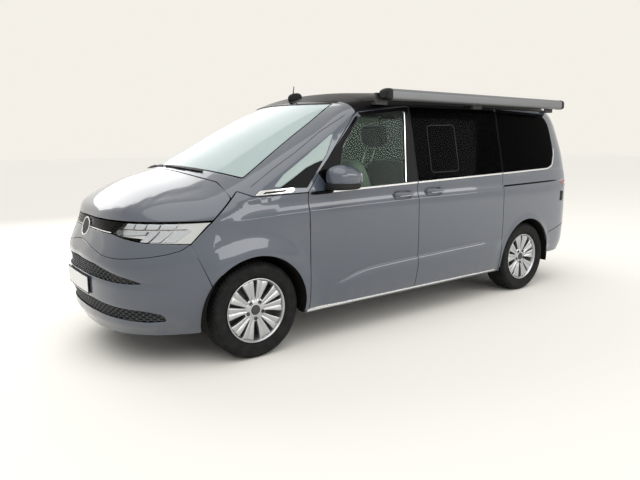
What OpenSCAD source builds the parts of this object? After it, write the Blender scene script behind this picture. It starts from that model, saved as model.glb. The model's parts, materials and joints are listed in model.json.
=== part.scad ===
// Camper van: one-box body with a hinged pop-up roof, a roof-edge awning on the left side,
// two hinged front doors, two sliding doors, a bonnet, a tailgate and four road wheels.
// Frame: +X forward, +Y to the left, +Z up. The origin is on the ground below the middle of the van.

/* [Main sizes] */
// Overall length over the bumpers
body_length = 4973; // [4900:1:5050]
// Overall width of the body without mirrors
body_width = 1941; // [1900:1:1980]
// Distance from the front axle to the front of the bumper
front_overhang = 951; // [935:1:965]
// Distance from the rear axle to the rear end
rear_overhang = 898; // [885:1:910]
// Height of the closed pop-up roof above the ground
roof_height = 1973; // [1960:1:1990]

/* [Walls and gaps] */
// Thickness of doors, side walls and lids
wall = 42; // [34:1:48]
// Width of the shut line between two panels
shut_gap = 8; // [6:0.5:10]
// How far the mirrors stand out from the body
mirror_out = 155.5; // [150:0.5:160]
// Thickness of the window glass
glass = 5; // [4:0.5:6]
// Clearance between a window pane and the rebate that holds it
glass_clear = 0.4; // [0.2:0.1:0.8]
// Clearance between two fixed pieces that sit on each other
seat_clear = 0.3; // [0.2:0.1:0.6]
// Width of the rebate under the edge of a window pane
rebate = 28; // [22:1:34]

/* [Doors] */
// Distance from the front wheel arch to the front edge of the front door
door_margin = 35.5; // [30:0.5:45]
// Length of the front doors
front_door_l = 1117; // [1090:1:1140]
// Distance from the rear wheel arch to the rear edge of the sliding door
slide_margin = 21.5; // [18:0.5:30]
// Bottom edge of all doors
door_low = 262; // [255:1:275]
// Distance from the roof down to the top edge of the doors
door_drop = 167; // [160:1:174]
// Lower edge of the side windows at the front door
belt_front = 1168; // [1160:1:1180]
// Lower edge of the side windows at the rear corner
belt_rear = 1240; // [1230:1:1250]

/* [Wheels] */
// Outside radius of the tyres
tyre_r = 345; // [340:1:350]
// Width of the tyres
tyre_w = 235; // [225:1:245]
// Radius of the wheel rim at its flange
rim_r = 231; // [226:1:236]
// Distance from the widest part of the body in to the middle of a tyre
wheel_inset = 156.5; // [153.5:0.5:162.5]
// Room between a tyre and its wheel arch
arch_gap = 50; // [44:1:55]
// Radius of the wheel spindles
spindle_r = 30; // [26:1:34]
// Radial clearance of a wheel on its spindle
run_clear = 0.3; // [0.2:0.1:0.6]
// Offset of the steering axis inboard of the tyre's middle
king_offset = 60; // [50:1:70]

/* [Awning] */
// Length of the awning case
awning_l = 2560; // [2400:10:2600]
// Height of the awning case
awning_h = 92; // [84:1:100]
// Depth of the awning case
awning_d = 118; // [105:1:130]

/* [Hidden] */
$fn = 48;

paint = "#5f656d";
black = "#17181a";
dark = "#2b2d30";
silver = "#c3c6c9";

half_l = body_length / 2;
half_w = body_width / 2;
axle_f = half_l - front_overhang;
axle_r = -half_l + rear_overhang;
arch_r = tyre_r + arch_gap;
wheel_y = half_w - wheel_inset;
far = 3000;

// The tables and outlines below are drawn for a van of these sizes, and then follow the real ones:
// the ends and the wheel arches keep their shape, and the parts between them stretch
DRAWN = [4973, 1941, 1973];
drawn_axle_f = 1535.5;
drawn_axle_r = -1588.5;
arch_zone = 430;
waist_z = 1168;
LENGTHS = [[-DRAWN[0] / 2, -half_l], [drawn_axle_r - arch_zone, axle_r - arch_zone],
    [drawn_axle_r + arch_zone, axle_r + arch_zone], [drawn_axle_f - arch_zone, axle_f - arch_zone],
    [drawn_axle_f + arch_zone, axle_f + arch_zone], [DRAWN[0] / 2, half_l]];
function along(x) = let (i = x < LENGTHS[1][0] ? 0 : x < LENGTHS[2][0] ? 1 : x < LENGTHS[3][0] ? 2
    : x < LENGTHS[4][0] ? 3 : 4, a = LENGTHS[i], b = LENGTHS[i + 1])
    a[1] + (x - a[0]) * (b[1] - a[1]) / (b[0] - a[0]);
function wide(y) = y * body_width / DRAWN[1];
function high(z) = z <= waist_z ? z : waist_z + (z - waist_z) * (roof_height - waist_z) / (DRAWN[2] -
    waist_z);
function side_pts(a) = [for (p = a) [along(p[0]), high(p[1])]];
function front_pts(a) = [for (p = a) [wide(p[0]), high(p[1])]];
function plan_pts(a) = [for (p = a) [along(p[0]), wide(p[1])]];
// Block between two drawn corners
module block(a, b) translate([along(a[0]), wide(a[1]), high(a[2])])
    cube([along(b[0]) - along(a[0]), wide(b[1]) - wide(a[1]), high(b[2]) - high(a[2])]);

door_front = drawn_axle_f - arch_r - door_margin;
door_rear = door_front - front_door_l;
slide_rear = drawn_axle_r + arch_r + slide_margin;
door_high = DRAWN[2] - door_drop;
drawn_half = DRAWN[0] / 2;

// Body sections, front to rear measured from the nearer end of the van, as
// [distance from the end, half width less than the full one, height of the top on the centre line, bottom]
NOSE = [
    [0, 870, 655, 470], [7, 750, 722, 400], [17, 670, 766, 350], [32, 590, 804, 310], [52, 520, 848, 282],
    [78, 450, 905, 262], [92, 420, 952, 256], [108, 390, 1034, 250], [150, 330, 1090, 240],
    [205, 270, 1136, 232], [275, 210, 1180, 226], [360, 160, 1224, 222], [460, 112, 1264, 220],
    [570, 74, 1296, 222], [680, 44, 1326, 230], [840, 22, 1408, 250], [1000, 12, 1488, 250],
    [1190, 6, 1586, 250], [1400, 2, 1690, 250]];
CABIN = [
    [1580, 0, 1774, 250], [1668, 0, 1812, 250], [1740, 0, 1842, 250], [1850, 0, 1882, 250],
    [2000, 0, 1918, 250], [2250, 0, 1946, 250]];
TAIL = [
    [0, 330, 1180, 440], [11, 242, 1290, 410], [30, 182, 1400, 380], [60, 136, 1520, 360],
    [100, 100, 1650, 345], [155, 70, 1772, 335], [215, 48, 1846, 328], [300, 34, 1902, 322],
    [500, 18, 1944, 300], [800, 8, 1966, 262], [1200, 2, 1973, 250], [1900, 0, 1972, 250]];

// Body sections from the rear to the nose, as [x, half width, top, bottom]
function tail_row(r) = [-drawn_half + r[0], DRAWN[1] / 2 - r[1], r[2], r[3]];
function nose_row(r) = [drawn_half - r[0], DRAWN[1] / 2 - r[1], r[2], r[3]];
function reversed(a) = [for (i = [len(a) - 1:-1:0]) a[i]];
SECTIONS = concat([for (r = TAIL) tail_row(r)], [for (r = reversed(CABIN)) nose_row(r)],
    [for (r = reversed(NOSE)) nose_row(r)]);

// How far the side leans in from the full width, as [height, inset]
SIDE = [[150, 75], [250, 52], [330, 30], [450, 14], [600, 4], [760, 0], [1000, 2], [1140, 12],
    [1210, 26], [1500, 86], [1780, 146], [1900, 176], [2000, 202]];
// How far the plan outline moves back at the nose and forward at the tail, as [height, nose, tail]
LEAN = [[0, 0, 0], [680, 0, 0], [760, 12, 0], [850, 48, 0], [912, 76, 0], [950, 88, 0], [1000, 97, 0],
    [1040, 107, 0], [1100, 132, 0], [1150, 178, 0], [1200, 238, 2], [1300, 350, 6], [1400, 470, 15],
    [1550, 620, 50], [1700, 760, 95], [1800, 860, 140], [2000, 1060, 230]];
// Drop of the top from the centre line to the side, and size of the rounded edge, as [x, drop, edge]
CROWN = [[-drawn_half, 60, 60], [-2300, 70, 110], [-1800, 80, 130], [300, 85, 130], [620, 130, 105],
    [900, 190, 80], [1500, 195, 80], [1900, 195, 110], [2200, 190, 120], [drawn_half, 150, 50]];
crown_ref = 820;
crown_power = 2.2;

// Smooth curve through one column of a table whose first column rises
function row_at(t, x, i = 0) = i >= len(t) - 2 || x < t[i + 1][0] ? i : row_at(t, x, i + 1);
function secant(t, i, c) = (t[i + 1][c] - t[i][c]) / (t[i + 1][0] - t[i][0]);
function slope(t, i, c) = i == 0 ? secant(t, 0, c) : i == len(t) - 1 ? secant(t, i - 1, c)
    : let (a = secant(t, i - 1, c), b = secant(t, i, c)) a * b <= 0 ? 0 : 2 * a * b / (a + b);
function curve(t, x0, c) = let (x = min(max(x0, t[0][0]), t[len(t) - 1][0]), i = row_at(t, x),
    h = t[i + 1][0] - t[i][0], u = (x - t[i][0]) / h,
    m0 = slope(t, i, c) * h, m1 = slope(t, i + 1, c) * h, p0 = t[i][c], p1 = t[i + 1][c])
    p0 + u * m0 + u * u * (3 * (p1 - p0) - 2 * m0 - m1) + u * u * u * (2 * (p0 - p1) + m0 + m1);

function plan_x(x, z) = x > 0 ? min(x + curve(LEAN, z, 1), drawn_half)
    : max(x - curve(LEAN, z, 2), -drawn_half);
function closes(x, z) = x > 0 && x + curve(LEAN, z, 1) > drawn_half;
function side_y(x, z) = closes(x, z) ? 2 : max(2, curve(SECTIONS, plan_x(x, z), 1) - curve(SIDE, z, 1));
function top_z(x, y) = curve(SECTIONS, x, 2) - curve(CROWN, x, 1) * pow(y / crown_ref, crown_power);

// Where the side meets the top in one section
function edge_y(x, lo, hi, n = 22) = n == 0 ? (lo + hi) / 2 : let (y = (lo + hi) / 2)
    side_y(x, top_z(x, y)) > y ? edge_y(x, y, hi, n - 1) : edge_y(x, lo, y, n - 1);
function bezier(a, b, c, u) = a * (1 - u) * (1 - u) + 2 * b * u * (1 - u) + c * u * u;

low_steps = 4;
high_steps = 3;
edge_steps = 3;
top_steps = 4;

// Half outline of a section at x, inset by t, from the sill up to the centre line, as [y, z]
function half_ring(x, t) = let (zb = curve(SECTIONS, x, 3) - (t > 0 ? far / 100 : 0),
    yc = max(edge_y(x, 0, DRAWN[1] / 2), 4), zc = top_z(x, yc),
    r = min(curve(CROWN, x, 2), 0.45 * (zc - zb), 0.8 * yc),
    za = zc - r, yb = yc - r, a = [side_y(x, za), za], b = [yb, top_z(x, yb)],
    zm = min(belt_front, zb + 0.6 * (za - zb)))
    [for (p = concat(
        [for (i = [0:low_steps - 1]) let (z = zb + (zm - zb) * i / low_steps) [side_y(x, z), z]],
        [for (i = [0:high_steps - 1]) let (z = zm + (za - zm) * i / high_steps) [side_y(x, z), z]],
        [for (i = [0:edge_steps - 1]) bezier(a, [yc, zc], b, i / edge_steps)],
        [for (i = [0:top_steps]) let (y = yb * (1 - i / top_steps)) [y, top_z(x, y)]]))
        [p[0] == 0 ? 0 : max(p[0] - t, 2), p[1] > zb + 1 ? max(p[1] - t * ease_top(p[1], za, zc),
        zb + 2) : p[1]]];
// The inset grows from none on the side to all of it on the top
function ease_top(z, za, zc) = z <= za ? 0 : z >= zc ? 1 : (z - za) / (zc - za);

// Places of the sections that are built, as distances from the tail and from the nose
TAIL_STEPS = [0, 24, 70, 125, 180, 235, 320, 560, 1100, 1900];
NOSE_STEPS = [2350, 2050, 1880, 1760, 1668, 1580, 1400, 1200, 1000, 840, 680, 520, 400, 300, 215,
    150, 104, 80,
    44, 16, 0];
stations = concat([for (d = TAIL_STEPS) d - drawn_half], [for (d = NOSE_STEPS) drawn_half - d]);

// Solid body with the walls moved in by t
module loft(t = 0) {
    shrink = (drawn_half - t) / drawn_half;
    rings = [for (x = stations) let (h = half_ring(x, t)) [for (p = concat(h, [for (i = [len(h) - 2:-1:0])
        [-h[i][0], h[i][1]]])) [along(x * shrink), wide(p[0]), high(p[1])]]];
    n = len(rings[0]);
    m = len(rings);
    sides = [for (i = [0:m - 2], j = [0:n - 1]) let (k = (j + 1) % n, a = i * n + j, b = a + n,
    c = i * n + k + n,
        d = i * n + k) each j < n / 2 - 1 ? [[a, c, d], [a, b, c]] : [[a, b, d], [b, c, d]]];
    ends = [[for (j = [0:n - 1]) j], [for (j = [n - 1:-1:0]) (m - 1) * n + j]];
    polyhedron([for (r = rings, p = r) p], concat(sides, ends), convexity = 10);
}

// Panel outlines in the side view, as x and z
hub_z = tyre_r;
gap2 = shut_gap / 2;
side_top = door_high + 4 + shut_gap - seat_clear;
belt_slope = (belt_rear - belt_front) / 2513;
function belt_z(x) = belt_front + (554 - x) * belt_slope;
nose_seam = 1001;
wing_top = 1150;
wing_seam = gap2 - seat_clear;
pop_front = 430;
pop_rear = -2190;
tail_top = -2290;
bumper_top = 636;

module door_shape() polygon(side_pts([[door_front, door_low], [door_front, belt_front - 10], [590,
    1716], [540, 1748],
    [80, door_high - 6], [door_rear + 9, door_high], [door_rear, belt_front + 30], [door_rear,
    door_low]]));
module slide_shape() polygon(side_pts([[door_rear, door_low], [door_rear, door_high], [slide_rear,
    door_high + 4],
    [slide_rear, door_low]]));
module arch(x) translate([x, hub_z]) circle(arch_r);
module fender_shape() difference() {
    polygon(side_pts([[door_front, door_low], [door_front, wing_top + wing_seam],
        [1545, wing_top - 6 + wing_seam], [1640, wing_top + 34 + wing_seam], [1832, nose_seam],
        [1985, 852], [1860, 560], [1860, 200], [1200, 200]]));
    arch(axle_f);
}
module quarter_shape() difference() {
    polygon(side_pts([[slide_rear, door_low], [slide_rear, side_top], [-2600, side_top], [-2600,
    bumper_top],
        [-2330, bumper_top], [-1975, 560], [-1900, 200], [-1300, 200]]));
    arch(axle_r);
}
module rear_bumper_shape() difference() {
    polygon(side_pts([[-2600, 200], [-2600, bumper_top], [-2330, bumper_top], [-1975, 560], [-1900,
    200]]));
    arch(axle_r);
}
module above_belt(x0, x1) polygon(side_pts([[x0, belt_z(x0)], [x1, belt_z(x1)], [x1, 2000], [x0, 2000]]));
module door_pane() intersection() {
    offset(delta = -40) door_shape();
    above_belt(1300, door_rear + 130);
}
module slide_pane() intersection() {
    offset(delta = -22 - gap2) slide_shape();
    above_belt(400, -1500);
}
module quarter_pane() polygon(side_pts([[slide_rear - 26, belt_z(slide_rear)], [-1975,
    belt_z(-1975)], [-2060, 1290],
    [-2108, 1390], [-2104, 1560], [-2078, 1690], [-1990, 1758], [slide_rear - 26, door_high - 24]]));
module quarter_light_pane() polygon(side_pts([[1490, 1174], [1120, 1174], [632, 1703]]));
module pop_zone(x0, x1) intersection() {
    polygon(side_pts([[900, 1792], [620, 1812], [400, 1832], [0, 1846], [pop_rear, 1850], [pop_rear,
    2200],
        [900, 2200]]));
    translate([x0, 0]) square([x1 - x0, far]);
}
module roof_zone() polygon(side_pts([[560, 1700], [560, 1810], [400, 1824], [0, 1838],
    [pop_rear - gap2, 1842],
    [pop_rear - gap2, 2200], [tail_top + gap2, 2200], [tail_top + gap2, door_high + 4 + gap2],
    [slide_rear - gap2, door_high + 4 + gap2], [slide_rear, door_high], [door_rear, door_high - 4],
    [100, 1790]]));
module upper_zone() polygon(side_pts([[560, 2200], [560, 1500], [door_front + gap2, wing_top], [1545,
    wing_top - 6],
    [1640, wing_top + 34], [1900, wing_top + 34], [1900, 2200]]));
module bonnet_zone() polygon(side_pts([[2600, nose_seam + gap2], [1836, nose_seam + gap2], [1646,
    1190], [1646, 1700],
    [2600, 1700]]));
module nose_zone() polygon(side_pts([[1838, nose_seam - 2], [2600, nose_seam - 2], [2600, 600],
    [2020, 700],
    [1991, 852]]));
module bumper_zone() difference() {
    polygon(side_pts([[1991, 849], [2020, 900], [2600, 900], [2600, 100], [1866, 100], [1866, 562]]));
    arch(axle_f);
}

// Outlines in the front view, as y and z
module over_chin(d = 0) offset(delta = -d) polygon(front_pts([[-1300, 1300], [-1300, 862], [-880,
    862], [-830, 815],
    [-420, 772], [0, 845], [420, 772], [830, 815], [880, 862], [1300, 862], [1300, 1300]]));
module lamp_face() polygon(front_pts([[452, 916], [545, 999], [1100, 999], [1100, 866], [860, 866],
    [690, 868]]));
module grille_face() polygon(front_pts([[-539, 999], [-446, 916], [-250, 924], [0, 928], [250, 924],
    [446, 916],
    [539, 999]]));
module upper_intake() offset(r = 24, $fn = 16) polygon(front_pts([[-740, 626], [-420, 630], [0, 640],
    [420, 630], [740, 626],
    [740, 640], [420, 662], [0, 690], [-420, 662], [-740, 640]]));
module lower_intake() offset(r = 24, $fn = 16) polygon(front_pts([[-760, 372], [760, 372], [740, 412],
    [-740, 412]]));
module tail_face() polygon(front_pts([[-800, bumper_top], [-800, 1150], [-748, 1790], [-730, 2200],
    [730, 2200],
    [748, 1790], [800, 1150], [800, bumper_top]]));
module tail_pane() polygon(front_pts([[-690, 1190], [-640, 1730], [640, 1730], [690, 1190]]));

// Outlines in the plan view, as x and y
cowl_r = 1687;
cowl_x = along(1850) - cowl_r;
screen_band = 74;
cowl_drop = 30;
header_r = 1158;
header_x = along(790) - header_r;
header_band = 46;
module screen_plan() difference() {
    intersection() {
        translate([cowl_x, 0]) scale([1, wide(1)]) circle(cowl_r - screen_band, $fn = 96);
        polygon(plan_pts([[500, -578], [1900, -847], [1900, 847], [500, 578]]));
    }
    translate([header_x, 0]) scale([1, wide(1)]) circle(header_r, $fn = 96);
}

// Extrusions of an outline through one side, from front to rear, or from top to bottom
module sideways(y0 = wide(560), y1 = wide(1300)) translate([0, y1, 0]) rotate([90, 0,
    0]) linear_extrude(y1 - y0) children();
module across() translate([0, far, 0]) rotate([90, 0, 0]) linear_extrude(2 * far) children();
module forward(x0 = 0, x1 = far) translate([x0, 0, 0]) rotate([90, 0,
    90]) linear_extrude(x1 - x0) children();
module upward(z0 = 0, z1 = far) translate([0, 0, z0]) linear_extrude(z1 - z0) children();
module both() {
    children();
    mirror([0, 1, 0]) children();
}
// Keeps curved panels as one faceted solid
module meshed() resize([0, 0, 0]) children();
module skin(t = wall, t0 = 0) difference() {
    loft(t0);
    loft(t);
}
// Rebate and opening for a pane that lies flush with the skin
module pane_seat() {
    intersection() {
        skin(glass + glass_clear, -2);
        children(0);
    }
    children(1);
}
module pane() intersection() {
    skin(glass);
    children();
}

// Body panels
module one_fender() intersection() {
    skin();
    sideways(wide(500)) offset(delta = -gap2) fender_shape();
}
module fenders() color(paint) meshed() both() one_fender();

module pillar_frame() color(paint) meshed() difference() {
    intersection() {
        skin();
        across() upper_zone();
    }
    across() offset(delta = gap2) door_shape();
    difference() {
        across() polygon(side_pts([[1500, 900], [3000, 900], [3000, 1600], [1500, 1600]]));
        upward() offset(delta = -gap2) cowl_plan();
    }
    both() translate([along(hinge_x) + 5, wide(arm_y) - arm_w / 2 - move_clear, 1000])
        cube([105, arm_w + 2 * move_clear, 400]);
    intersection() {
        skin(cowl_drop, -2);
        upward(1000) difference() {
            cowl_plan();
            translate([cowl_x, 0]) scale([1, wide(1)]) circle(cowl_r - screen_band + 4, $fn = 96);
            for (s = [-1, 1]) translate([along(1000), s > 0 ? wide(846) : -far])
                square([1000, far - wide(846)]);
        }
    }
    translate([header_x, 0, high(1700)]) scale([1, wide(1), 1]) cylinder(h = far,
    r = header_r - header_band, $fn = 96);
    pane_seat() {
        upward(1000) screen_plan();
        upward(1000) offset(delta = -rebate) screen_plan();
    }
    both() pane_seat() {
        sideways(wide(300)) quarter_light_pane();
        sideways(wide(300)) offset(delta = -rebate) quarter_light_pane();
    }
}

module roof_frame() color(paint) meshed() difference() {
    intersection() {
        skin();
        across() roof_zone();
    }
    across() offset(delta = gap2) door_shape();
    across() translate([-2 * gap2, 0]) offset(delta = gap2) door_shape();
    across() offset(delta = gap2) slide_shape();
}

module roof_cap() color(black) meshed() intersection() {
    skin(34);
    across() pop_zone(along(pop_front) + gap2, along(900));
    translate([header_x, 0, high(1700)]) scale([1, wide(1), 1]) cylinder(h = far,
    r = header_r - header_band - seat_clear, $fn = 96);
}

module pop_roof() color(black) meshed() intersection() {
    skin(34);
    across() pop_zone(along(pop_rear) + gap2, along(pop_front) - gap2);
}

module sliding_doors() color(paint) meshed() both() difference() {
    intersection() {
        skin();
        sideways() offset(delta = -gap2) slide_shape();
    }
    slide_arm(seat_clear);
    pane_seat() {
        sideways() slide_pane();
        sideways() offset(delta = -rebate) slide_pane();
    }
}

module lamp_corner(d = 0) translate([-far, -far, 1004 - d]) cube([far + along(-2250) + d, 2 * far,
    104 + 2 * d]);
module quarter_panels() color(paint) meshed() both() difference() {
    intersection() {
        skin();
        sideways(wide(500)) offset(delta = -gap2) quarter_shape();
    }
    forward(-far, along(-1700)) offset(delta = gap2) tail_face();
    lamp_corner();
    pane_seat() {
        sideways() quarter_pane();
        sideways() offset(delta = -rebate) quarter_pane();
    }
}

module tail_lamps() color("#8c1512") meshed() both() difference() {
    intersection() {
        skin();
        lamp_corner(-0.4);
        translate([-far, wide(500), 0]) cube([far, far, far]);
    }
    forward(-far, along(-1700)) offset(delta = gap2) tail_face();
}

module tailgate() color(paint) meshed() difference() {
    intersection() {
        skin();
        forward(-far, along(tail_top) - gap2) offset(delta = -gap2) tail_face();
    }
    pane_seat() {
        forward(-far, along(tail_top) - 20) tail_pane();
        forward(-far, along(tail_top) - 20) offset(delta = -rebate) tail_pane();
    }
}
module tailgate_glass() color(black) meshed() pane() forward(-far, along(tail_top) - 20)
    offset(delta = -glass_clear) tail_pane();

module rear_bumper() color(paint) meshed() intersection() {
    skin();
    across() offset(delta = -gap2) rear_bumper_shape();
}

module front_bumper() color(paint) meshed() difference() {
    intersection() {
        skin(34);
        across() bumper_zone();
    }
    forward(along(1500)) offset(delta = 3) over_chin();
    forward(along(2000)) upper_intake();
    forward(along(2000)) lower_intake();
}
module bumper_grilles() color(black) meshed() intersection() {
    skin(26, 14);
    forward(along(2000)) {
        offset(delta = -0.4) upper_intake();
        offset(delta = -0.4) lower_intake();
    }
}
module nose_panel() color(paint) meshed() difference() {
    intersection() {
        skin(34);
        across() nose_zone();
        forward(along(1500)) over_chin();
    }
    forward(along(1500)) {
        grille_face();
        lamp_face();
        mirror([1, 0]) lamp_face();
    }
}
module nose_grille() color(black) meshed() intersection() {
    skin(30, 4);
    across() nose_zone();
    forward(along(1500)) offset(delta = -0.4) grille_face();
}
module headlamps() color("#d7dde2") meshed() both() intersection() {
    skin(90);
    across() nose_zone();
    forward(along(1500)) offset(delta = -0.4) lamp_face();
}

// Beams behind the bumper, on two rails from the front wall
// The rails reach the beam, which curves forward towards the middle
module front_beam() color(dark) meshed() intersection() {
    rail_end = along(2310) + max(0, 485 - house_y) * 0.45;
    union() {
        difference() {
            union() {
                block([2080, -900, 484], [2480, 900, 574]);
                block([2080, -900, 776], [2480, 900, 850]);
            }
            loft(80);
        }
        both() {
            translate([along(1125), house_y - 59, 490]) cube([rail_end - along(1125), 52, 76]);
            translate([rail_end - 100, house_y - 59, 490]) cube([100, 52, 340]);
        }
    }
    loft(34 + seat_clear);
}

hinge_x = 1612;
hinge_z = 1170;
arm_y = 690;
arm_w = 16;
pin_r = 9;
move_clear = 6;
module cowl_plan() {
    translate([cowl_x, 0]) scale([1, wide(1)]) circle(cowl_r, $fn = 96);
    for (s = [-1, 1]) polygon(plan_pts([[1000, 700 * s], [1686, 700 * s], [1686, 1100 * s], [1000,
    1100 * s]]));
}
module bonnet_arm() difference() {
    translate([0, wide(arm_y) + arm_w / 2, 0]) rotate([90, 0, 0]) linear_extrude(arm_w)
        polygon(side_pts([[hinge_x - 16, hinge_z - 16], [hinge_x + 16, hinge_z - 16], [1720, 1160],
        [1800, 1150],
            [1800, 1260], [1714, 1260], [1702, hinge_z + 16], [hinge_x - 16, hinge_z + 16]]));
    translate([along(hinge_x), wide(arm_y), high(hinge_z)]) rotate([90, 0, 0])
        cylinder(h = 4 * arm_w, r = pin_r + glass_clear, center = true, $fn = 36);
}
module bonnet() color(paint) meshed() {
    difference() {
        intersection() {
            skin(26);
            across() bonnet_zone();
        }
        upward() offset(delta = gap2 + 1) cowl_plan();
    }
    both() intersection() {
        bonnet_arm();
        loft(8);
    }
}

module windscreen() color("#93a3ab") meshed() pane() upward(1000) offset(delta = -glass_clear)
    screen_plan();
module quarter_lights() color("#55606a") meshed() both() pane() sideways(wide(300))
    offset(delta = -glass_clear) quarter_light_pane();
module side_glass() color(black) meshed() both() pane() sideways() {
    offset(delta = -glass_clear) slide_pane();
    offset(delta = -glass_clear) quarter_pane();
}

module door_panel() meshed() difference() {
    intersection() {
        skin();
        sideways() offset(delta = -gap2) door_shape();
    }
    pane_seat() {
        sideways() door_pane();
        sideways() offset(delta = -rebate) door_pane();
    }
}
module front_door_left() color(paint) door_panel();
module front_door_right() color(paint) mirror([0, 1, 0]) door_panel();
module door_glass_one() meshed() pane() sideways() offset(delta = -glass_clear) door_pane();
module door_glass_left() color("#55606a") door_glass_one();
module door_glass_right() color("#55606a") mirror([0, 1, 0]) door_glass_one();

mirror_y = half_w + mirror_out;
mirror_z = high(1262);
module mirror_one() meshed() difference() {
    union() {
        hull() {
            translate([along(862), mirror_y - 106, mirror_z]) scale([130, 46, 92]) sphere(1, $fn = 16);
            translate([along(828), mirror_y - 56, mirror_z - 8]) scale([106, 56, 78]) sphere(1, $fn = 16);
        }
        hull() {
            translate([along(930), mirror_y - 246, mirror_z - 112]) cube([70, 20, 26]);
            translate([along(850), mirror_y - 116, mirror_z - 82]) cube([90, 40, 26]);
        }
    }
    loft(-glass_clear);
}
module mirror_left() color(paint) mirror_one();
module mirror_right() color(paint) mirror([0, 1, 0]) mirror_one();

// Hinges in the shut lines: each pin is carried by a web on the edge of the fixed panel
pin_gap_r = gap2 - 0.3;
door_axis_y = side_y(door_front, 760);
tail_axis_z = top_z(tail_top, 0);
pop_axis_z = top_z(pop_rear, 0);
web_d = 26;
module door_pin(z) translate([along(door_front), wide(door_axis_y), z]) {
    cylinder(h = 60, r = pin_gap_r);
    translate([-pin_gap_r, -web_d, 0]) cube([pin_gap_r + gap2, web_d, 60]);
}
module roof_pin(x, z, s) translate([along(x), 90, high(z)]) {
    rotate([-90, 0, 0]) cylinder(h = 60, r = pin_gap_r);
    translate([s > 0 ? -pin_gap_r : -gap2, 0, -web_d]) cube([pin_gap_r + gap2, 60, web_d]);
}
module bonnet_bracket() meshed() intersection() {
    union() {
        translate([along(hinge_x), wide(arm_y) + 34, high(hinge_z)]) rotate([90, 0, 0])
            cylinder(h = 60, r = pin_r, $fn = 36);
        translate([along(hinge_x) - 20, wide(arm_y) + arm_w / 2 + move_clear, high(hinge_z) - 16])
            cube([40, 20, 200]);
    }
    loft(wall + glass_clear);
}
module panel_hinges() color(dark) both() {
    door_pin(640);
    door_pin(880);
    roof_pin(tail_top, tail_axis_z, 1);
    roof_pin(pop_rear, pop_axis_z, -1);
    bonnet_bracket();
}

// Floor, wheel housings and running gear
floor_z = 262;
floor_t = 38;
floor_w = half_w - 108.5;
rear_floor_z = 432;
house_in = 329;
house_y = wheel_y - house_in;
house_t = 5;
pad_h = 22;
module pad(x, y) translate([along(x) - 40, y - 30, floor_z - pad_h]) cube([80, 60, pad_h + 1]);
module floor_pan() color(dark) {
    difference() {
        rotate([90, 0, 0]) translate([0, 0, -floor_w]) linear_extrude(2 * floor_w) polygon(side_pts([
            [1125, floor_z], [1125, 820], [1095, 820], [1095, floor_z + floor_t], [-1100,
            floor_z + floor_t],
            [-1100, rear_floor_z + floor_t], [-2320, rear_floor_z + floor_t], [-2320, rear_floor_z],
            [-1138, rear_floor_z], [-1138, floor_z]]));
        for (s = [-1, 1]) translate([axle_r, s > 0 ? house_y - 8 : -floor_w - 1, hub_z]) rotate([-90,
        0, 0])
            cylinder(h = floor_w - house_y + 9, r = arch_r + house_t + 4 + 0.8);
        for (s = [-1, 1]) translate([along(-2400), s > 0 ? floor_w - 92 : -floor_w - 1, 300])
            cube([along(-1100) - along(-2400), 93, 300]);
    }
    for (x = [880, -880], s = [-1, 1]) pad(x, s * (floor_w - 82));
    both() slide_arm();
}
// Roller arms in the floor's edge, which carry a sliding door in a pocket
module slide_arm(d = 0) for (x = [-200, -980]) translate([along(x) - 50 - d, floor_w - 2,
    floor_z + 8 - d])
    cube([100 + 2 * d, 42 + d, 22 + 2 * d]);
module housing(x) meshed() intersection() {
    difference() {
        translate([x, house_y, hub_z]) rotate([-90, 0, 0]) cylinder(h = half_w - house_y,
        r = arch_r + 4 + house_t, $fn = 48);
        translate([x, house_y + house_t, hub_z]) rotate([-90, 0, 0]) cylinder(h = half_w - house_y,
        r = arch_r + 4, $fn = 48);
        translate([x - 600, 0, -400]) cube([1200, half_w + 200, 720]);
        translate([x - 180, 0, 0]) cube([360, house_y + 20, 700]);
    }
    loft(wall + seat_clear);
}
module wheel_housings() color(black) both() {
    housing(axle_f);
    housing(axle_r);
}

module front_axle() color(dark) {
    translate([axle_f - 100, 25 - house_y, 252]) cube([200, 2 * house_y - 50, 56]);
    both() {
        translate([axle_f - 45, house_y - 45, 232]) cube([90, house_in - king_offset + 75, 22]);
        translate([axle_f, wheel_y - king_offset, 232]) cylinder(h = 70, r = 12);
        translate([axle_f, house_y + 115, 240]) cylinder(h = hub_z + arch_r + 2.2 - 240, r = 26);
    }
}
module knuckle_one() difference() {
    union() {
        translate([axle_f - 55, wheel_y - king_offset - 34, 262]) cube([110, 68, 166]);
        translate([axle_f, wheel_y - king_offset, hub_z]) rotate([-90, 0, 0])
            cylinder(h = 124, r = spindle_r);
    }
    translate([axle_f, wheel_y - king_offset, 250]) cylinder(h = 60, r = 12 + run_clear);
}
module knuckle_left() color("#707479") knuckle_one();
module knuckle_right() color("#707479") mirror([0, 1, 0]) knuckle_one();

module rear_axle() color(dark) both() {
    translate([axle_r, 0, hub_z]) rotate([-90, 0, 0]) cylinder(h = wheel_y - king_offset, r = 44);
    translate([axle_r, wheel_y - king_offset - 10, hub_z]) rotate([-90, 0, 0])
        cylinder(h = 134, r = spindle_r);
    translate([axle_r, house_y - 105, hub_z]) cylinder(h = rear_floor_z - hub_z, r = 50);
    translate([axle_r, house_y - 155, hub_z - 30]) cube([along(-1138) - axle_r, 60, 60]);
}

engine_side = house_y - 65;
module engine() color("#4a4d50") translate([along(1420), -engine_side, 308])
    cube([along(1850) - along(1420), 2 * engine_side, 552]);

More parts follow.
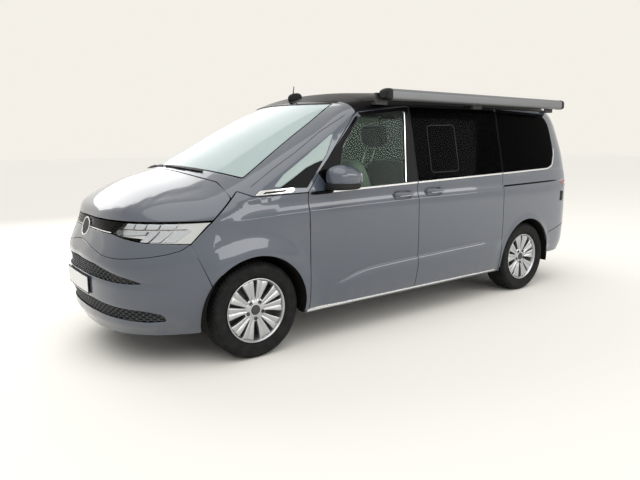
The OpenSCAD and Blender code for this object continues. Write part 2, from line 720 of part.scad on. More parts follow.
// Half width of the rim between its flanges, and over them
bead = 90;
flange = bead + 12;
module tyre() color("#1a1a1b") rotate([-90, 0, 0]) rotate_extrude($fn = 72) polygon([
    [rim_r - 14, -bead], [rim_r + 6, -bead], [rim_r + 40, -bead - 22], [tyre_r - 52, -tyre_w / 2],
    [tyre_r - 24, -tyre_w / 2 + 6], [tyre_r - 8, -tyre_w / 2 + 20], [tyre_r, -tyre_w / 2 + 44],
    [tyre_r, tyre_w / 2 - 44], [tyre_r - 8, tyre_w / 2 - 20], [tyre_r - 24, tyre_w / 2 - 6],
    [tyre_r - 52, tyre_w / 2], [rim_r + 40, bead + 22], [rim_r + 6, bead], [rim_r - 14, bead]]);
disc_out = 88;
module rim() color(silver) difference() {
    rotate([-90, 0, 0]) rotate_extrude($fn = 72) polygon([
        [spindle_r + run_clear, 40], [78, 40], [92, 58], [206, 66], [206, 50], [196, 10], [196, -90],
        [rim_r - 10, -flange], [rim_r, -flange], [rim_r, -bead - seat_clear],
        [rim_r - 14 - seat_clear, -bead - seat_clear], [rim_r - 14 - seat_clear, bead + seat_clear],
        [rim_r, bead + seat_clear], [rim_r, flange], [rim_r - 6, flange], [206, 96], [120,
        disc_out - 6], [70, disc_out],
        [spindle_r + run_clear, disc_out]]);
    for (i = [0:9]) rotate([0, 36 * i + (i % 2 == 0 ? 3 : -3), 0]) translate([0, 20, 0]) rotate([-90,
    0, 0])
        linear_extrude(120) polygon([[110, -7], [110, 7], [198, 24], [198, -24]]);
}
module wheel_at(x, s) translate([x, s * wheel_y, hub_z]) mirror([0, s > 0 ? 0 : 1, 0]) children();
module tyre_front_left() wheel_at(axle_f, 1) tyre();
module rim_front_left() wheel_at(axle_f, 1) rim();
module tyre_front_right() wheel_at(axle_f, -1) tyre();
module rim_front_right() wheel_at(axle_f, -1) rim();
module tyre_rear_left() wheel_at(axle_r, 1) tyre();
module rim_rear_left() wheel_at(axle_r, 1) rim();
module tyre_rear_right() wheel_at(axle_r, -1) tyre();
module rim_rear_right() wheel_at(axle_r, -1) rim();

module exhaust() color("#8b8d8f") {
    translate([along(1180), wide(-560), 224]) rotate([0, -90,
    0]) cylinder(h = along(1180) - along(-2020), r = 28);
    translate([along(-2250), wide(-640), 196]) cube([along(-1920) - along(-2250), wide(320), 116]);
    translate([along(-2240), wide(-560), 250]) rotate([0, -90,
    0]) cylinder(h = along(-2240) - along(-2430), r = 26);
    for (x = [900, 0, -900]) translate([along(x), wide(-560) - 15, 230])
        cube([40, 30, floor_z - 230]);
    translate([along(-2100), wide(-500), 300]) cube([40, 30, rear_floor_z - 300]);
}
module fuel_tank() color(dark) translate([along(-980), wide(80), 176])
    cube([along(-280) - along(-980), wide(560), floor_z - 176]);
module tow_eye() color(dark) difference() {
    union() {
        translate([along(-2300), wide(360), 300]) cube([40, 16, rear_floor_z - 300]);
        translate([along(-2300) + 20, wide(360), 290]) rotate([-90, 0, 0]) cylinder(h = 16, r = 36);
    }
    translate([along(-2300) + 20, wide(360) - 60, 290]) rotate([-90, 0, 0]) cylinder(h = 200, r = 18);
}

// Inside
dash_z = 820;
module dash_profile() polygon(side_pts([[1000, 900], [1060, dash_z], [1180, dash_z], [1420, 1000],
    [1420, 1150],
    [1180, 1170], [1010, 1110]]));
module dashboard() color(black) difference() {
    rotate([90, 0, 0]) translate([0, 0, -half_w + 120.5]) linear_extrude(body_width - 241) dash_profile();
    for (s = [-1, 1]) translate([axle_f, s > 0 ? house_y - 8 : -half_w, hub_z]) rotate([-90, 0, 0])
        cylinder(h = half_w - house_y + 8, r = arch_r + 20);
}
wheel_tilt = 26;
module steering_wheel() color(black) difference() {
    translate([along(1000) - 110, wide(380), 1040]) rotate([0, 90 + wheel_tilt, 0]) {
        rotate_extrude($fn = 48) translate([178, 0]) circle(14, $fn = 24);
        translate([0, 0, -12]) cylinder(h = 50, r = 60);
        for (a = [0, 90, 180]) rotate([0, 0, a + 90]) translate([40, -16, -8]) cube([130, 32, 16]);
        cylinder(h = 180, r = 28);
    }
    across() offset(delta = seat_clear) dash_profile();
}
module seat_profile() offset(r = 18) polygon(side_pts([[330, 520], [880, 540], [890, 590], [450,
    585], [310, 1140],
    [220, 1150], [330, 560]]));
module seat(y) translate([0, y, 0]) {
    translate([0, 260, 0]) rotate([90, 0, 0]) linear_extrude(520) seat_profile();
    translate([0, 130, 0]) rotate([90, 0, 0]) linear_extrude(260) offset(r = 20)
        polygon(side_pts([[240, 1150], [310, 1150], [290, 1330], [220, 1330]]));
    translate([along(380), -200, floor_z + floor_t]) cube([along(800) - along(380), 400, 230]);
}
module front_seats() color("#3a3b3e") {
    seat(wide(410));
    seat(wide(-410));
}
module rear_bench() color("#3a3b3e") rotate([90, 0, 0]) translate([0, 0, wide(-360)])
    linear_extrude(wide(1160))
    polygon(side_pts([[-520, floor_z + floor_t], [-500, 700], [-520, 740], [-930, 730], [-1060, 1330],
        [-1150, 1330], [-1060, floor_z + floor_t]]));
module kitchen_unit() color("#9a7350") rotate([90, 0, 0]) translate([0, 0, wide(-820)])
    linear_extrude(wide(380))
    polygon(side_pts([[-180, floor_z + floor_t], [-180, 1090], [-2010, 1090], [-2010, 764], [-1096, 764],
        [-1096, floor_z + floor_t]]));

// Awning case on the left edge of the roof
awning_y = half_w - 124.5;
awning_z = high(1836);
awning_x = along(400);
module awning() color("#5d6064") translate([awning_x, awning_y, awning_z]) rotate([0, -90, 0])
    linear_extrude(awning_l) difference() {
        union() {
            translate([0, 0]) square([awning_h - 26, awning_d]);
            translate([awning_h - 26, 0]) square([26, awning_d - 26]);
            translate([awning_h - 26, awning_d - 26]) circle(26);
        }
    }
module awning_brackets() color(black) meshed() difference() {
    for (x = [awning_x - 90, awning_x - awning_l / 2, awning_x - awning_l + 120])
        translate([x - 60, 0, 0]) {
            translate([0, awning_y - 76, awning_z - 30]) cube([120, 76, 18]);
            translate([0, awning_y - 24, awning_z - 30]) cube([120, 24, 90]);
        }
    loft(-glass_clear);
}
module antenna() color(black) meshed() difference() {
    union() {
        hull() {
            translate([along(700), 80, high(1800)]) cube([10, 40, high(1860) - high(1800)]);
            translate([along(560), 88, high(1800)]) cube([10, 24, high(1950) - high(1800)]);
        }
        translate([along(610), 100, high(1900)]) rotate([0, 12, 0]) cylinder(h = 90, r = 5, $fn = 12);
    }
    loft(-glass_clear);
}

floor_pan();
wheel_housings();
fenders();
pillar_frame();
roof_frame();
roof_cap();
sliding_doors();
quarter_panels();
front_bumper();
bumper_grilles();
nose_panel();
nose_grille();
headlamps();
front_beam();
rear_bumper();
tail_lamps();
windscreen();
quarter_lights();
side_glass();
dashboard();
steering_wheel();
front_seats();
rear_bench();
kitchen_unit();
engine();
front_axle();
rear_axle();
exhaust();
fuel_tank();
tow_eye();
awning();
awning_brackets();
antenna();
panel_hinges();
bonnet();
tailgate();
tailgate_glass();
pop_roof();
front_door_left();
door_glass_left();
mirror_left();
front_door_right();
door_glass_right();
mirror_right();
knuckle_left();
knuckle_right();
tyre_front_left();
rim_front_left();
tyre_front_right();
rim_front_right();
tyre_rear_left();
rim_rear_left();
tyre_rear_right();
rim_rear_right();
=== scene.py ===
"""Looks of a camper van: painted skins, glass, lamps, wheels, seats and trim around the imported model.

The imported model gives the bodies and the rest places. The body skins here are worked out from the same
section curves as the solids, in millimetres, and are put into meshes in metres.
"""
import json
import logging
import math
from dataclasses import dataclass, field
from enum import Enum
from typing import Callable, Optional, Sequence, Union

import bpy
import numpy as np
from mathutils import Matrix, Vector, geometry

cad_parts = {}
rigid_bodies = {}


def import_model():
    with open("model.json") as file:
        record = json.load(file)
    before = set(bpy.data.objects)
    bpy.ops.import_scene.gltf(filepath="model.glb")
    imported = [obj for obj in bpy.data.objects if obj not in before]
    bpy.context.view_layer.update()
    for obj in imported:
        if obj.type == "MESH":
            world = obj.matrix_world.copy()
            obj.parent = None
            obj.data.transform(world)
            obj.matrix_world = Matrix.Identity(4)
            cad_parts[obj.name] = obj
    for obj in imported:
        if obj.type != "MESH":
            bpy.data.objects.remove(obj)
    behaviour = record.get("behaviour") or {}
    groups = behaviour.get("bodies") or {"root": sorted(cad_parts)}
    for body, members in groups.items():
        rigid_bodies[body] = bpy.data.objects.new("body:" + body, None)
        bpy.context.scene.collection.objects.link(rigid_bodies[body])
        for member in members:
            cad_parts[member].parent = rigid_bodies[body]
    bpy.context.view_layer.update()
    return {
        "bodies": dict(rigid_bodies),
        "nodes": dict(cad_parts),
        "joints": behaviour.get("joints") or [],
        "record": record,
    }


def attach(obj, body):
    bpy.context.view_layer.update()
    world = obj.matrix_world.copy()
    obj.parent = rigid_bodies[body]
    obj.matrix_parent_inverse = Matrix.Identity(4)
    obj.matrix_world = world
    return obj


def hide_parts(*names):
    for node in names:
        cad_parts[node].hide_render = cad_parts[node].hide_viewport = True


log = logging.getLogger("camper")
Array = np.ndarray
Shift = Callable[[Array], Array]
MM = 0.001


class Side(Enum):
    """Side of the van: the left one lies at positive Y."""

    LEFT = 1
    RIGHT = -1


class Fit(Enum):
    """How a grid of points closes on itself."""

    OPEN = 0
    RING = 1


# Curves of one variable and the body's form


class Curve:
    """Smooth function of one variable through a table, kept as samples one millimetre apart."""

    def __init__(self, rows: Sequence[tuple[float, float]], soften: float = 0.0, keep: float = 0.0) -> None:
        """Fits a monotone cubic through the rows and softens it with a bell-shaped average.

        The slope at a row is the harmonic mean of its neighbours' secants, or nought at a turn.

        Args:
            rows: Pairs of place and value, with rising places.
            soften: Width of the bell in millimetres.
            keep: Distance from either end within which the curve stays as it was fitted.
        """
        t = np.array(rows, float)
        x, y = t[:, 0], t[:, 1]
        h = np.diff(x)
        s = np.diff(y) / h
        a, b = s[:-1], s[1:]
        mean = np.where(a * b > 0, 2 * a * b / np.where(a * b > 0, a + b, 1.0), 0.0)
        m = np.concatenate([[s[0]], mean, [s[-1]]])
        self.x = np.linspace(x[0], x[-1], int(round(x[-1] - x[0])) + 1)
        i = np.clip(np.searchsorted(x, self.x, side="right") - 1, 0, len(h) - 1)
        u = (self.x - x[i]) / h[i]
        m0, m1, p0, p1 = m[i] * h[i], m[i + 1] * h[i], y[i], y[i + 1]
        v = p0 + u * m0 + u**2 * (3 * (p1 - p0) - 2 * m0 - m1) + u**3 * (2 * (p0 - p1) + m0 + m1)
        self.y = v if soften == 0 else self._softened(v, soften, keep)

    def _softened(self, v: Array, width: float, keep: float) -> Array:
        """Averages with a bell of the given width, fading to none near the ends."""
        n = int(3 * width)
        k = np.exp(-0.5 * (np.arange(-n, n + 1) / width) ** 2)
        head = v[0] + (v[1] - v[0]) * np.arange(-n, 0)
        tail = v[-1] + (v[-1] - v[-2]) * np.arange(1, n + 1)
        soft = np.convolve(np.concatenate([head, v, tail]), k / k.sum(), mode="valid")
        if keep <= 0:
            return soft
        near = np.minimum(self.x - self.x[0], self.x[-1] - self.x)
        w = smooth((near - keep) / (4 * keep))
        return v * (1 - w) + soft * w

    def __call__(self, x: Array) -> Array:
        """Value at x, held beyond the ends."""
        return np.interp(x, self.x, self.y)


def smooth(t: Array) -> Array:
    """Smooth step: 0 below 0, 1 above 1 and 3t^2 - 2t^3 between."""
    t = np.clip(t, 0.0, 1.0)
    return t * t * (3 - 2 * t)


def crest(t: Array) -> Array:
    """One-sided swell t e^(1-t), which starts with a crease at 0 and is highest at 1."""
    t = np.maximum(t, 0.0)
    return t * np.exp(1 - t)


def unit(v: Array) -> Array:
    """Vectors scaled to length 1."""
    return v / np.maximum(np.linalg.norm(v, axis=-1, keepdims=True), 1e-12)


@dataclass
class BodyShape:
    """Form of the whole body: sections along the length with a leaning side and a crowned top.

    At length x and height z the half width is the plan width at x moved by the lean, less the side's inset.
    The top falls from the centre line with the power of the half width, and a quadratic curve joins the two.
    """

    half_l: float = 2486.5
    half_w: float = 970.5
    crown_ref: float = 820.0
    crown_power: float = 2.2
    nose: tuple = (
        (0, 870, 655, 470), (7, 750, 722, 400), (17, 670, 766, 350), (32, 590, 804, 310),
        (52, 520, 848, 282), (78, 450, 905, 262), (92, 420, 952, 256), (108, 390, 1034, 250),
        (150, 330, 1090, 240), (205, 270, 1136, 232), (275, 210, 1180, 226), (360, 160, 1224, 222),
        (460, 112, 1264, 220), (570, 74, 1296, 222), (680, 44, 1326, 230), (840, 22, 1408, 250),
        (1000, 12, 1488, 250), (1190, 6, 1586, 250), (1400, 2, 1690, 250), (1580, 0, 1774, 250),
        (1668, 0, 1812, 250), (1740, 0, 1842, 250), (1850, 0, 1882, 250), (2000, 0, 1918, 250),
        (2250, 0, 1946, 250))
    tail: tuple = (
        (0, 330, 1180, 440), (11, 242, 1290, 410), (30, 182, 1400, 380), (60, 136, 1520, 360),
        (100, 100, 1650, 345), (155, 70, 1772, 335), (215, 48, 1846, 328), (300, 34, 1902, 322),
        (500, 18, 1944, 300), (800, 8, 1966, 262), (1200, 2, 1973, 250), (1900, 0, 1972, 250))
    inset: tuple = (
        (150, 75), (250, 52), (330, 30), (450, 14), (600, 4), (760, 0), (1000, 2), (1140, 12), (1210, 26),
        (1500, 86), (1780, 146), (1900, 176), (2000, 202))
    lean: tuple = (
        (150, 78, 62), (235, 64, 58), (262, 54, 57), (282, 45, 55), (310, 31, 54), (335, 21, 50),
        (360, 14, 40), (385, 9, 26), (410, 6, 11), (440, 2, 0), (470, 0, 0),
        (680, 0, 0), (760, 12, 0), (850, 48, 0), (912, 76, 0), (950, 88, 0), (1000, 97, 0),
        (1040, 107, 0), (1100, 132, 0), (1150, 178, 0), (1200, 238, 2), (1300, 350, 6), (1400, 470, 15),
        (1550, 620, 50), (1700, 760, 95), (1800, 860, 140), (2000, 1060, 230))
    crown: tuple = (
        (-2486.5, 60, 60), (-2300, 70, 110), (-1800, 80, 130), (300, 85, 130), (620, 130, 105),
        (900, 190, 80), (1500, 195, 80), (1900, 195, 110), (2200, 190, 120), (2486.5, 150, 50))

    def __post_init__(self) -> None:
        """Works out the curves and the joint between side and top for each millimetre of length."""
        rows = [(r[0] - self.half_l, self.half_w - r[1], r[2], r[3]) for r in self.tail]
        rows += [(self.half_l - r[0], self.half_w - r[1], r[2], r[3]) for r in reversed(self.nose)]
        self.wide = Curve([(r[0], r[1]) for r in rows], 26, 45)
        self.top = Curve([(r[0], r[2]) for r in rows], 34, 40)
        self.sill = Curve([(r[0], r[3]) for r in rows], 20, 40)
        self.tuck = Curve(self.inset, 22)
        self.lean_nose = Curve([(r[0], r[1]) for r in self.lean], 12)
        self.lean_tail = Curve([(r[0], r[2]) for r in self.lean], 20)
        self.drop = Curve([(r[0], r[1]) for r in self.crown], 60)
        self.edge = Curve([(r[0], r[2]) for r in self.crown], 60)
        x = np.linspace(-self.half_l, self.half_l, int(2 * self.half_l) + 1)
        low, high = np.zeros_like(x), np.full_like(x, self.half_w)
        for _ in range(32):
            mid = (low + high) / 2
            over = self.flank(x, self.crowned(x, mid)) > mid
            low, high = np.where(over, mid, low), np.where(over, high, mid)
        yc = np.maximum(low, 4)
        zc = self.crowned(x, yc)
        r = np.minimum(np.minimum(self.edge(x), 0.45 * (zc - self.sill(x))), 0.8 * yc)
        self.x, self.yc, self.zc, self.za, self.yb = x, yc, zc, zc - r, yc - r
        self.ya = np.maximum(self.flank(x, self.za), self.yb + 1)
        self.zb = self.crowned(x, self.yb)

    def flank(self, x: Array, z: Array) -> Array:
        """Half width of the leaning side at length x and height z, or -1 past the ends."""
        ahead = x + self.lean_nose(z)
        plan = np.where(x > 0, np.minimum(ahead, self.half_l),
                        np.maximum(x - self.lean_tail(z), -self.half_l))
        past = (x > 0) & (ahead > self.half_l)
        past |= (x < 0) & (z < 470) & (x - self.lean_tail(z) < -self.half_l)
        return np.where(past, -1.0, self.wide(plan) - self.tuck(z))

    def crowned(self, x: Array, y: Array) -> Array:
        """Height of the crowned top at length x and half width y."""
        return self.top(x) - self.drop(x) * (np.abs(y) / self.crown_ref) ** self.crown_power

    def _joint(self, x: Array) -> tuple[Array, ...]:
        """Side end, corner and top end of the joining curve at length x."""
        rows = (self.ya, self.za, self.yc, self.zc, self.yb, self.zb)
        return tuple(np.interp(x, self.x, t) for t in rows)

    @staticmethod
    def _share(a: Array, b: Array, c: Array, v: Array) -> Array:
        """Parameter at which the quadratic a(1-u)^2 + 2bu(1-u) + cu^2 takes the value v."""
        q2, q1, q0 = a - 2 * b + c, 2 * (b - a), a - v
        root = np.sqrt(np.maximum(q1**2 - 4 * q2 * q0, 0))
        d = np.where(q1 >= 0, -q1 - root, -q1 + root)
        return np.clip(2 * q0 / np.where(np.abs(d) < 1e-9, 1e-9, d), 0, 1)

    def half_width(self, x: Array, z: Array) -> Array:
        """Half width of the body at length x and height z, over side, joint and top."""
        ya, za, yc, zc, yb, zb = self._joint(x)
        u = self._share(za, zc, zb, z)
        joint = ya * (1 - u) ** 2 + 2 * yc * u * (1 - u) + yb * u**2
        above = np.maximum(self.top(x) - z, 0) / self.drop(x)
        crown = np.where(z > self.top(x), -1.0, self.crown_ref * above ** (1 / self.crown_power))
        return np.where(z <= za, self.flank(x, z), np.where(z <= zb, joint, crown))

    def height(self, x: Array, y: Array) -> Array:
        """Height of the body's top at length x and half width y."""
        y = np.abs(y)
        ya, za, yc, zc, yb, zb = self._joint(x)
        u = self._share(ya, yc, yb, y)
        joint = za * (1 - u) ** 2 + 2 * zc * u * (1 - u) + zb * u**2
        return np.where(y <= yb, self.crowned(x, y), joint)

    def holds(self, p: Array) -> Array:
        """Whether points lie inside the body."""
        x, y, z = p[:, 0], np.abs(p[:, 1]), p[:, 2]
        yb = np.interp(x, self.x, self.yb)
        middle = (z < self.crowned(x, y)) & ((z > 470) | (self.flank(x, z) > y))
        under = np.where(y <= yb, middle, y < self.half_width(x, z))
        return under & (np.abs(x) < self.half_l)

    def cast(self, start: Array, way: Array, reach: float = 3200.0) -> Array:
        """Points where rays from inside leave the body, by halving the reach.

        Args:
            start: Points inside the body.
            way: Unit directions.
            reach: Distance that is surely outside.

        Returns:
            One point on the body per ray.
        """
        low, high = np.zeros(len(start)), np.full(len(start), reach)
        for _ in range(36):
            mid = (low + high) / 2
            inside = self.holds(start + way * mid[:, None])
            low, high = np.where(inside, mid, low), np.where(inside, high, mid)
        return start + way * low[:, None]


# Charts: flat maps of the body, on which the panels' outlines are drawn


@dataclass
class Chart:
    """Flat map of a part of the body, with points found by rays from inside it."""

    shape: BodyShape
    shift: Optional[Shift] = None

    def rays(self, uv: Array) -> tuple[Array, Array]:
        """Starts and directions of the rays of map points."""
        raise NotImplementedError

    def flat(self, p: Array) -> Array:
        """Map points of points on the body."""
        raise NotImplementedError

    def bare(self, uv: Array) -> Array:
        """Points on the body without creases and flares."""
        start, way = self.rays(uv)
        return self.shape.cast(start, way)

    def _normals(self, place: Callable[[Array], Array], uv: Array, step: float) -> Array:
        """Outward normals as the cross product of central differences."""
        du, dv = np.array([step, 0.0]), np.array([0.0, step])
        a = place(uv + du) - place(uv - du)
        b = place(uv + dv) - place(uv - dv)
        n = unit(np.cross(a, b))
        _, way = self.rays(uv)
        return n * np.where((n * way).sum(1) < 0, -1.0, 1.0)[:, None]

    def point(self, uv: Array) -> Array:
        """Points on the body with its creases and flares, which move them along the normal."""
        p = self.bare(uv)
        if self.shift is None:
            return p
        n = self._normals(self.bare, uv, 6.0)
        return p + n * self.shift(p)[:, None]

    def normal(self, uv: Array, step: float = 3.0) -> Array:
        """Outward normals of the body with its creases."""
        return self._normals(self.point, uv, step)


@dataclass
class SideChart(Chart):
    """Side view: length and height, looking at the left side."""

    def rays(self, uv: Array) -> tuple[Array, Array]:
        """Rays straight out to the left."""
        start = np.stack([uv[:, 0], np.zeros(len(uv)), uv[:, 1]], 1)
        return start, np.tile([0.0, 1.0, 0.0], (len(uv), 1))

    def flat(self, p: Array) -> Array:
        """Length and height."""
        return p[:, [0, 2]]

    def bare(self, uv: Array) -> Array:
        """Points at the half width of the body."""
        return np.stack([uv[:, 0], self.shape.half_width(uv[:, 0], uv[:, 1]), uv[:, 1]], 1)


@dataclass
class TurnChart(Chart):
    """Unrolled view round an upright axis: arc length at a set radius, and height."""

    axis_x: float = 1100.0
    radius: float = 900.0
    facing: float = 1.0

    def rays(self, uv: Array) -> tuple[Array, Array]:
        """Level rays from the axis."""
        a = uv[:, 0] / self.radius
        start = np.stack([np.full(len(uv), self.axis_x), np.zeros(len(uv)), uv[:, 1]], 1)
        return start, np.stack([self.facing * np.cos(a), np.sin(a), np.zeros(len(uv))], 1)

    def flat(self, p: Array) -> Array:
        """Arc length from the centre line, and height."""
        a = np.arctan2(p[:, 1], self.facing * (p[:, 0] - self.axis_x))
        return np.stack([a * self.radius, p[:, 2]], 1)


@dataclass
class DomeChart(Chart):
    """View from a point inside: distance from the zenith as an arc, along and across the van."""

    centre: tuple[float, float, float] = (900.0, 0.0, 1000.0)
    radius: float = 900.0

    def rays(self, uv: Array) -> tuple[Array, Array]:
        """Rays from the centre, tilted from the zenith by the distance from the map's middle."""
        d = np.hypot(uv[:, 0], uv[:, 1])
        a = d / self.radius
        k = np.where(d > 1e-9, np.sin(a) / np.maximum(d, 1e-9), 1 / self.radius)
        way = np.stack([uv[:, 0] * k, uv[:, 1] * k, np.cos(a)], 1)
        return np.tile(self.centre, (len(uv), 1)), way

    def flat(self, p: Array) -> Array:
        """Arc from the zenith, split along and across."""
        v = unit(p - np.array(self.centre))
        a = np.arccos(np.clip(v[:, 2], -1, 1)) * self.radius
        w = np.hypot(v[:, 0], v[:, 1])
        k = np.where(w > 1e-9, a / np.maximum(w, 1e-9), 0)
        return np.stack([v[:, 0] * k, v[:, 1] * k], 1)


@dataclass
class BarrelChart(Chart):
    """View round a level axis along the van: length, and arc length from the top."""

    axis_z: float = 1250.0
    radius: float = 700.0

    def rays(self, uv: Array) -> tuple[Array, Array]:
        """Rays across the van from the axis."""
        a = uv[:, 1] / self.radius
        start = np.stack([uv[:, 0], np.zeros(len(uv)), np.full(len(uv), self.axis_z)], 1)
        return start, np.stack([np.zeros(len(uv)), np.sin(a), np.cos(a)], 1)

    def flat(self, p: Array) -> Array:
        """Length and arc length from the top."""
        return np.stack([p[:, 0], np.arctan2(p[:, 1], p[:, 2] - self.axis_z) * self.radius], 1)


class Tracer:
    """Draws lines on the body from lines in the side, front, rear, plan and level views."""

    def __init__(self, shape: BodyShape, pitch: float = 10.0) -> None:
        """Keeps the body's form and the spacing of the drawn points."""
        self.shape = shape
        self.pitch = pitch

    def _dense(self, line: Sequence[Sequence[float]]) -> Array:
        """Points along a flat line at the pitch."""
        return spaced(np.array(line, float), self.pitch, Fit.OPEN)

    def side(self, line: Sequence[Sequence[float]]) -> Array:
        """Line of length and height, laid on the left side."""
        q = self._dense(line)
        return np.stack([q[:, 0], np.maximum(self.shape.half_width(q[:, 0], q[:, 1]), 0), q[:, 1]], 1)

    def plan(self, line: Sequence[Sequence[float]]) -> Array:
        """Line of length and width, laid on the top."""
        q = self._dense(line)
        return np.stack([q[:, 0], q[:, 1], self.shape.height(q[:, 0], q[:, 1])], 1)

    def ends(self, line: Sequence[Sequence[float]], facing: float = 1.0) -> Array:
        """Line of width and height, laid on the nose, or on the tail with facing -1."""
        q = self._dense(line)
        start = np.stack([np.full(len(q), 900.0 * facing), q[:, 0], q[:, 1]], 1)
        way = np.tile([facing, 0.0, 0.0], (len(q), 1))
        return self.shape.cast(start, way)

    def level(self, chart: TurnChart, line: Sequence[Sequence[float]]) -> Array:
        """Line of a turn chart, laid on the body."""
        return chart.bare(self._dense(line))


# Loops on a chart


def spaced(q: Array, pitch: float, fit: Fit) -> Array:
    """Points along a line at an even pitch.

    Args:
        q: Points of the line.
        pitch: Distance wished for between points.
        fit: Whether the line closes on itself.

    Returns:
        Even points, without a repeated last point on a ring.
    """
    p = np.vstack([q, q[:1]]) if fit is Fit.RING else q
    d = np.linalg.norm(np.diff(p, axis=0), axis=1)
    keep = np.concatenate([[True], d > 1e-6])
    p, s = p[keep], np.concatenate([[0], np.cumsum(d[d > 1e-6])])
    n = max(int(round(s[-1] / pitch)), 1)
    at = np.linspace(0, s[-1], n + 1)
    out = np.stack([np.interp(at, s, p[:, k]) for k in range(p.shape[1])], 1)
    return out[:-1] if fit is Fit.RING else out


def rounded(loop: Array, radius: float, pitch: float) -> Array:
    """Closed loop with its corners rounded by a bell-shaped average, at the given pitch."""
    fine = spaced(loop, 2.5, Fit.RING)
    if radius > 0:
        w = radius / 2.5 / 2
        n = int(3 * w) + 1
        k = np.exp(-0.5 * (np.arange(-n, n + 1) / w) ** 2)
        k /= k.sum()
        wrap = np.vstack([fine[-n:], fine, fine[:n]])
        fine = np.stack([np.convolve(wrap[:, i], k, mode="valid") for i in range(2)], 1)
    return spaced(fine, pitch, Fit.RING)


def turned_left(loop: Array) -> Array:
    """Loop in anticlockwise order."""
    x, y = loop[:, 0], loop[:, 1]
    area = np.sum(x * np.roll(y, -1) - np.roll(x, -1) * y)
    return loop if area > 0 else loop[::-1]


def grown(loop: Array, by: float) -> Array:
    """Anticlockwise loop moved outwards along its own normals."""
    t = unit(np.roll(loop, -1, 0) - np.roll(loop, 1, 0))
    return loop + by * np.stack([t[:, 1], -t[:, 0]], 1)


def within(q: Array, loop: Array) -> Array:
    """Whether points lie inside a loop, by counting crossings of its edges."""
    a, b = loop, np.roll(loop, -1, 0)
    x, y = q[:, :1], q[:, 1:]
    cut = (a[:, 1] > y) != (b[:, 1] > y)
    d = np.where(np.abs(b[:, 1] - a[:, 1]) < 1e-12, 1e-12, b[:, 1] - a[:, 1])
    at = a[:, 0] + (y - a[:, 1]) * (b[:, 0] - a[:, 0]) / d
    return (cut & (x < at)).sum(1) % 2 == 1


def clear_of(q: Array, others: Array, least: float) -> Array:
    """Whether points keep a least distance from other points."""
    ok = np.ones(len(q), bool)
    for part in np.array_split(others, max(1, len(others) // 400)):
        ok &= (((q[:, None] - part[None]) ** 2).sum(2) > least**2).all(1)
    return ok


def filled(loops: Sequence[Array], pitch: float, extra: Optional[Array] = None) -> tuple[Array, Array]:
    """Triangles inside an outer loop and outside its holes, over an even field of points.

    Args:
        loops: Outer loop first, then the holes.
        pitch: Spacing of the inner points.
        extra: Points to take in before the even field, as along a crease.

    Returns:
        Map points, whose first rows are the loops in order, and triangles.
    """
    edge = np.vstack(loops)
    low, high = loops[0].min(0), loops[0].max(0)
    rows = np.arange(low[1], high[1] + pitch, pitch * 0.866)
    cols = np.arange(low[0], high[0] + pitch, pitch)
    gx, gy = np.meshgrid(cols, rows)
    gx = gx + (np.arange(len(rows)) % 2)[:, None] * pitch / 2
    field_pts = np.stack([gx.ravel(), gy.ravel()], 1)

    def fits(q: Array) -> Array:
        """Points inside the outer loop and outside the holes."""
        ok = within(q, loops[0])
        for hole in loops[1:]:
            ok &= ~within(q, hole)
        return q[ok]

    inner = np.zeros((0, 2))
    if extra is not None and len(extra):
        inner = fits(extra)
        inner = inner[clear_of(inner, edge, 4.0)]
    field_pts = fits(field_pts)
    field_pts = field_pts[clear_of(field_pts, edge, pitch * 0.55)]
    if len(inner):
        field_pts = field_pts[clear_of(field_pts, inner, pitch * 0.5)]
    pts = np.vstack([edge, inner, field_pts])
    sides, first = [], 0
    for loop in loops:
        k = np.arange(len(loop))
        sides += list(zip((first + k).tolist(), (first + np.roll(k, -1)).tolist()))
        first += len(loop)
    out = geometry.delaunay_2d_cdt([Vector(p) for p in pts.tolist()], sides, [], 0, 1e-4)
    got = np.array([v[:] for v in out[0]])
    tris = np.array([f[:] for f in out[2] if len(f) == 3])
    mid = got[tris].mean(1)
    ok = within(mid, loops[0])
    for hole in loops[1:]:
        ok &= ~within(mid, hole)
    return got, tris[ok]


# Meshes


@dataclass
class Patch:
    """Part of a mesh: faces over shared points, with a normal for each corner and a finish number."""

    faces: Array
    normals: Array
    finish: int = 0


def put_mesh(name: str, points: Array, patches: Sequence[Patch], finishes: Sequence[bpy.types.Material],
             uv: Optional[Array] = None) -> bpy.types.Object:
    """Makes an object at the origin from points in millimetres and patches of faces.

    Args:
        name: Name of the piece.
        points: All points of the mesh.
        patches: Faces of three or four corners, with one normal per corner.
        finishes: Materials in the order of the finish numbers.
        uv: Map coordinates per point, in millimetres.

    Returns:
        The new object.
    """
    mesh = bpy.data.meshes.new(name)
    corner = np.concatenate([p.faces.ravel() for p in patches]).astype(np.int32)
    count = np.concatenate([np.full(len(p.faces), p.faces.shape[1]) for p in patches]).astype(np.int32)
    slot = np.concatenate([np.full(len(p.faces), p.finish) for p in patches]).astype(np.int32)
    mesh.vertices.add(len(points))
    mesh.vertices.foreach_set("co", (points * MM).astype(np.float32).ravel())
    mesh.loops.add(len(corner))
    mesh.loops.foreach_set("vertex_index", corner)
    mesh.polygons.add(len(count))
    mesh.polygons.foreach_set("loop_start", (np.cumsum(count) - count).astype(np.int32))
    mesh.polygons.foreach_set("loop_total", count)
    mesh.polygons.foreach_set("material_index", slot)
    mesh.polygons.foreach_set("use_smooth", np.ones(len(count), bool))
    if uv is not None:
        layer = mesh.uv_layers.new(name="flat")
        layer.data.foreach_set("uv", (uv[corner] * MM).astype(np.float32).ravel())
    mesh.update(calc_edges=True)
    for m in finishes:
        mesh.materials.append(m)
    normals = np.concatenate([p.normals.reshape(-1, 3) for p in patches])
    mesh.normals_split_custom_set(normals.tolist())
    obj = bpy.data.objects.new(name, mesh)
    bpy.context.scene.collection.objects.link(obj)
    return obj


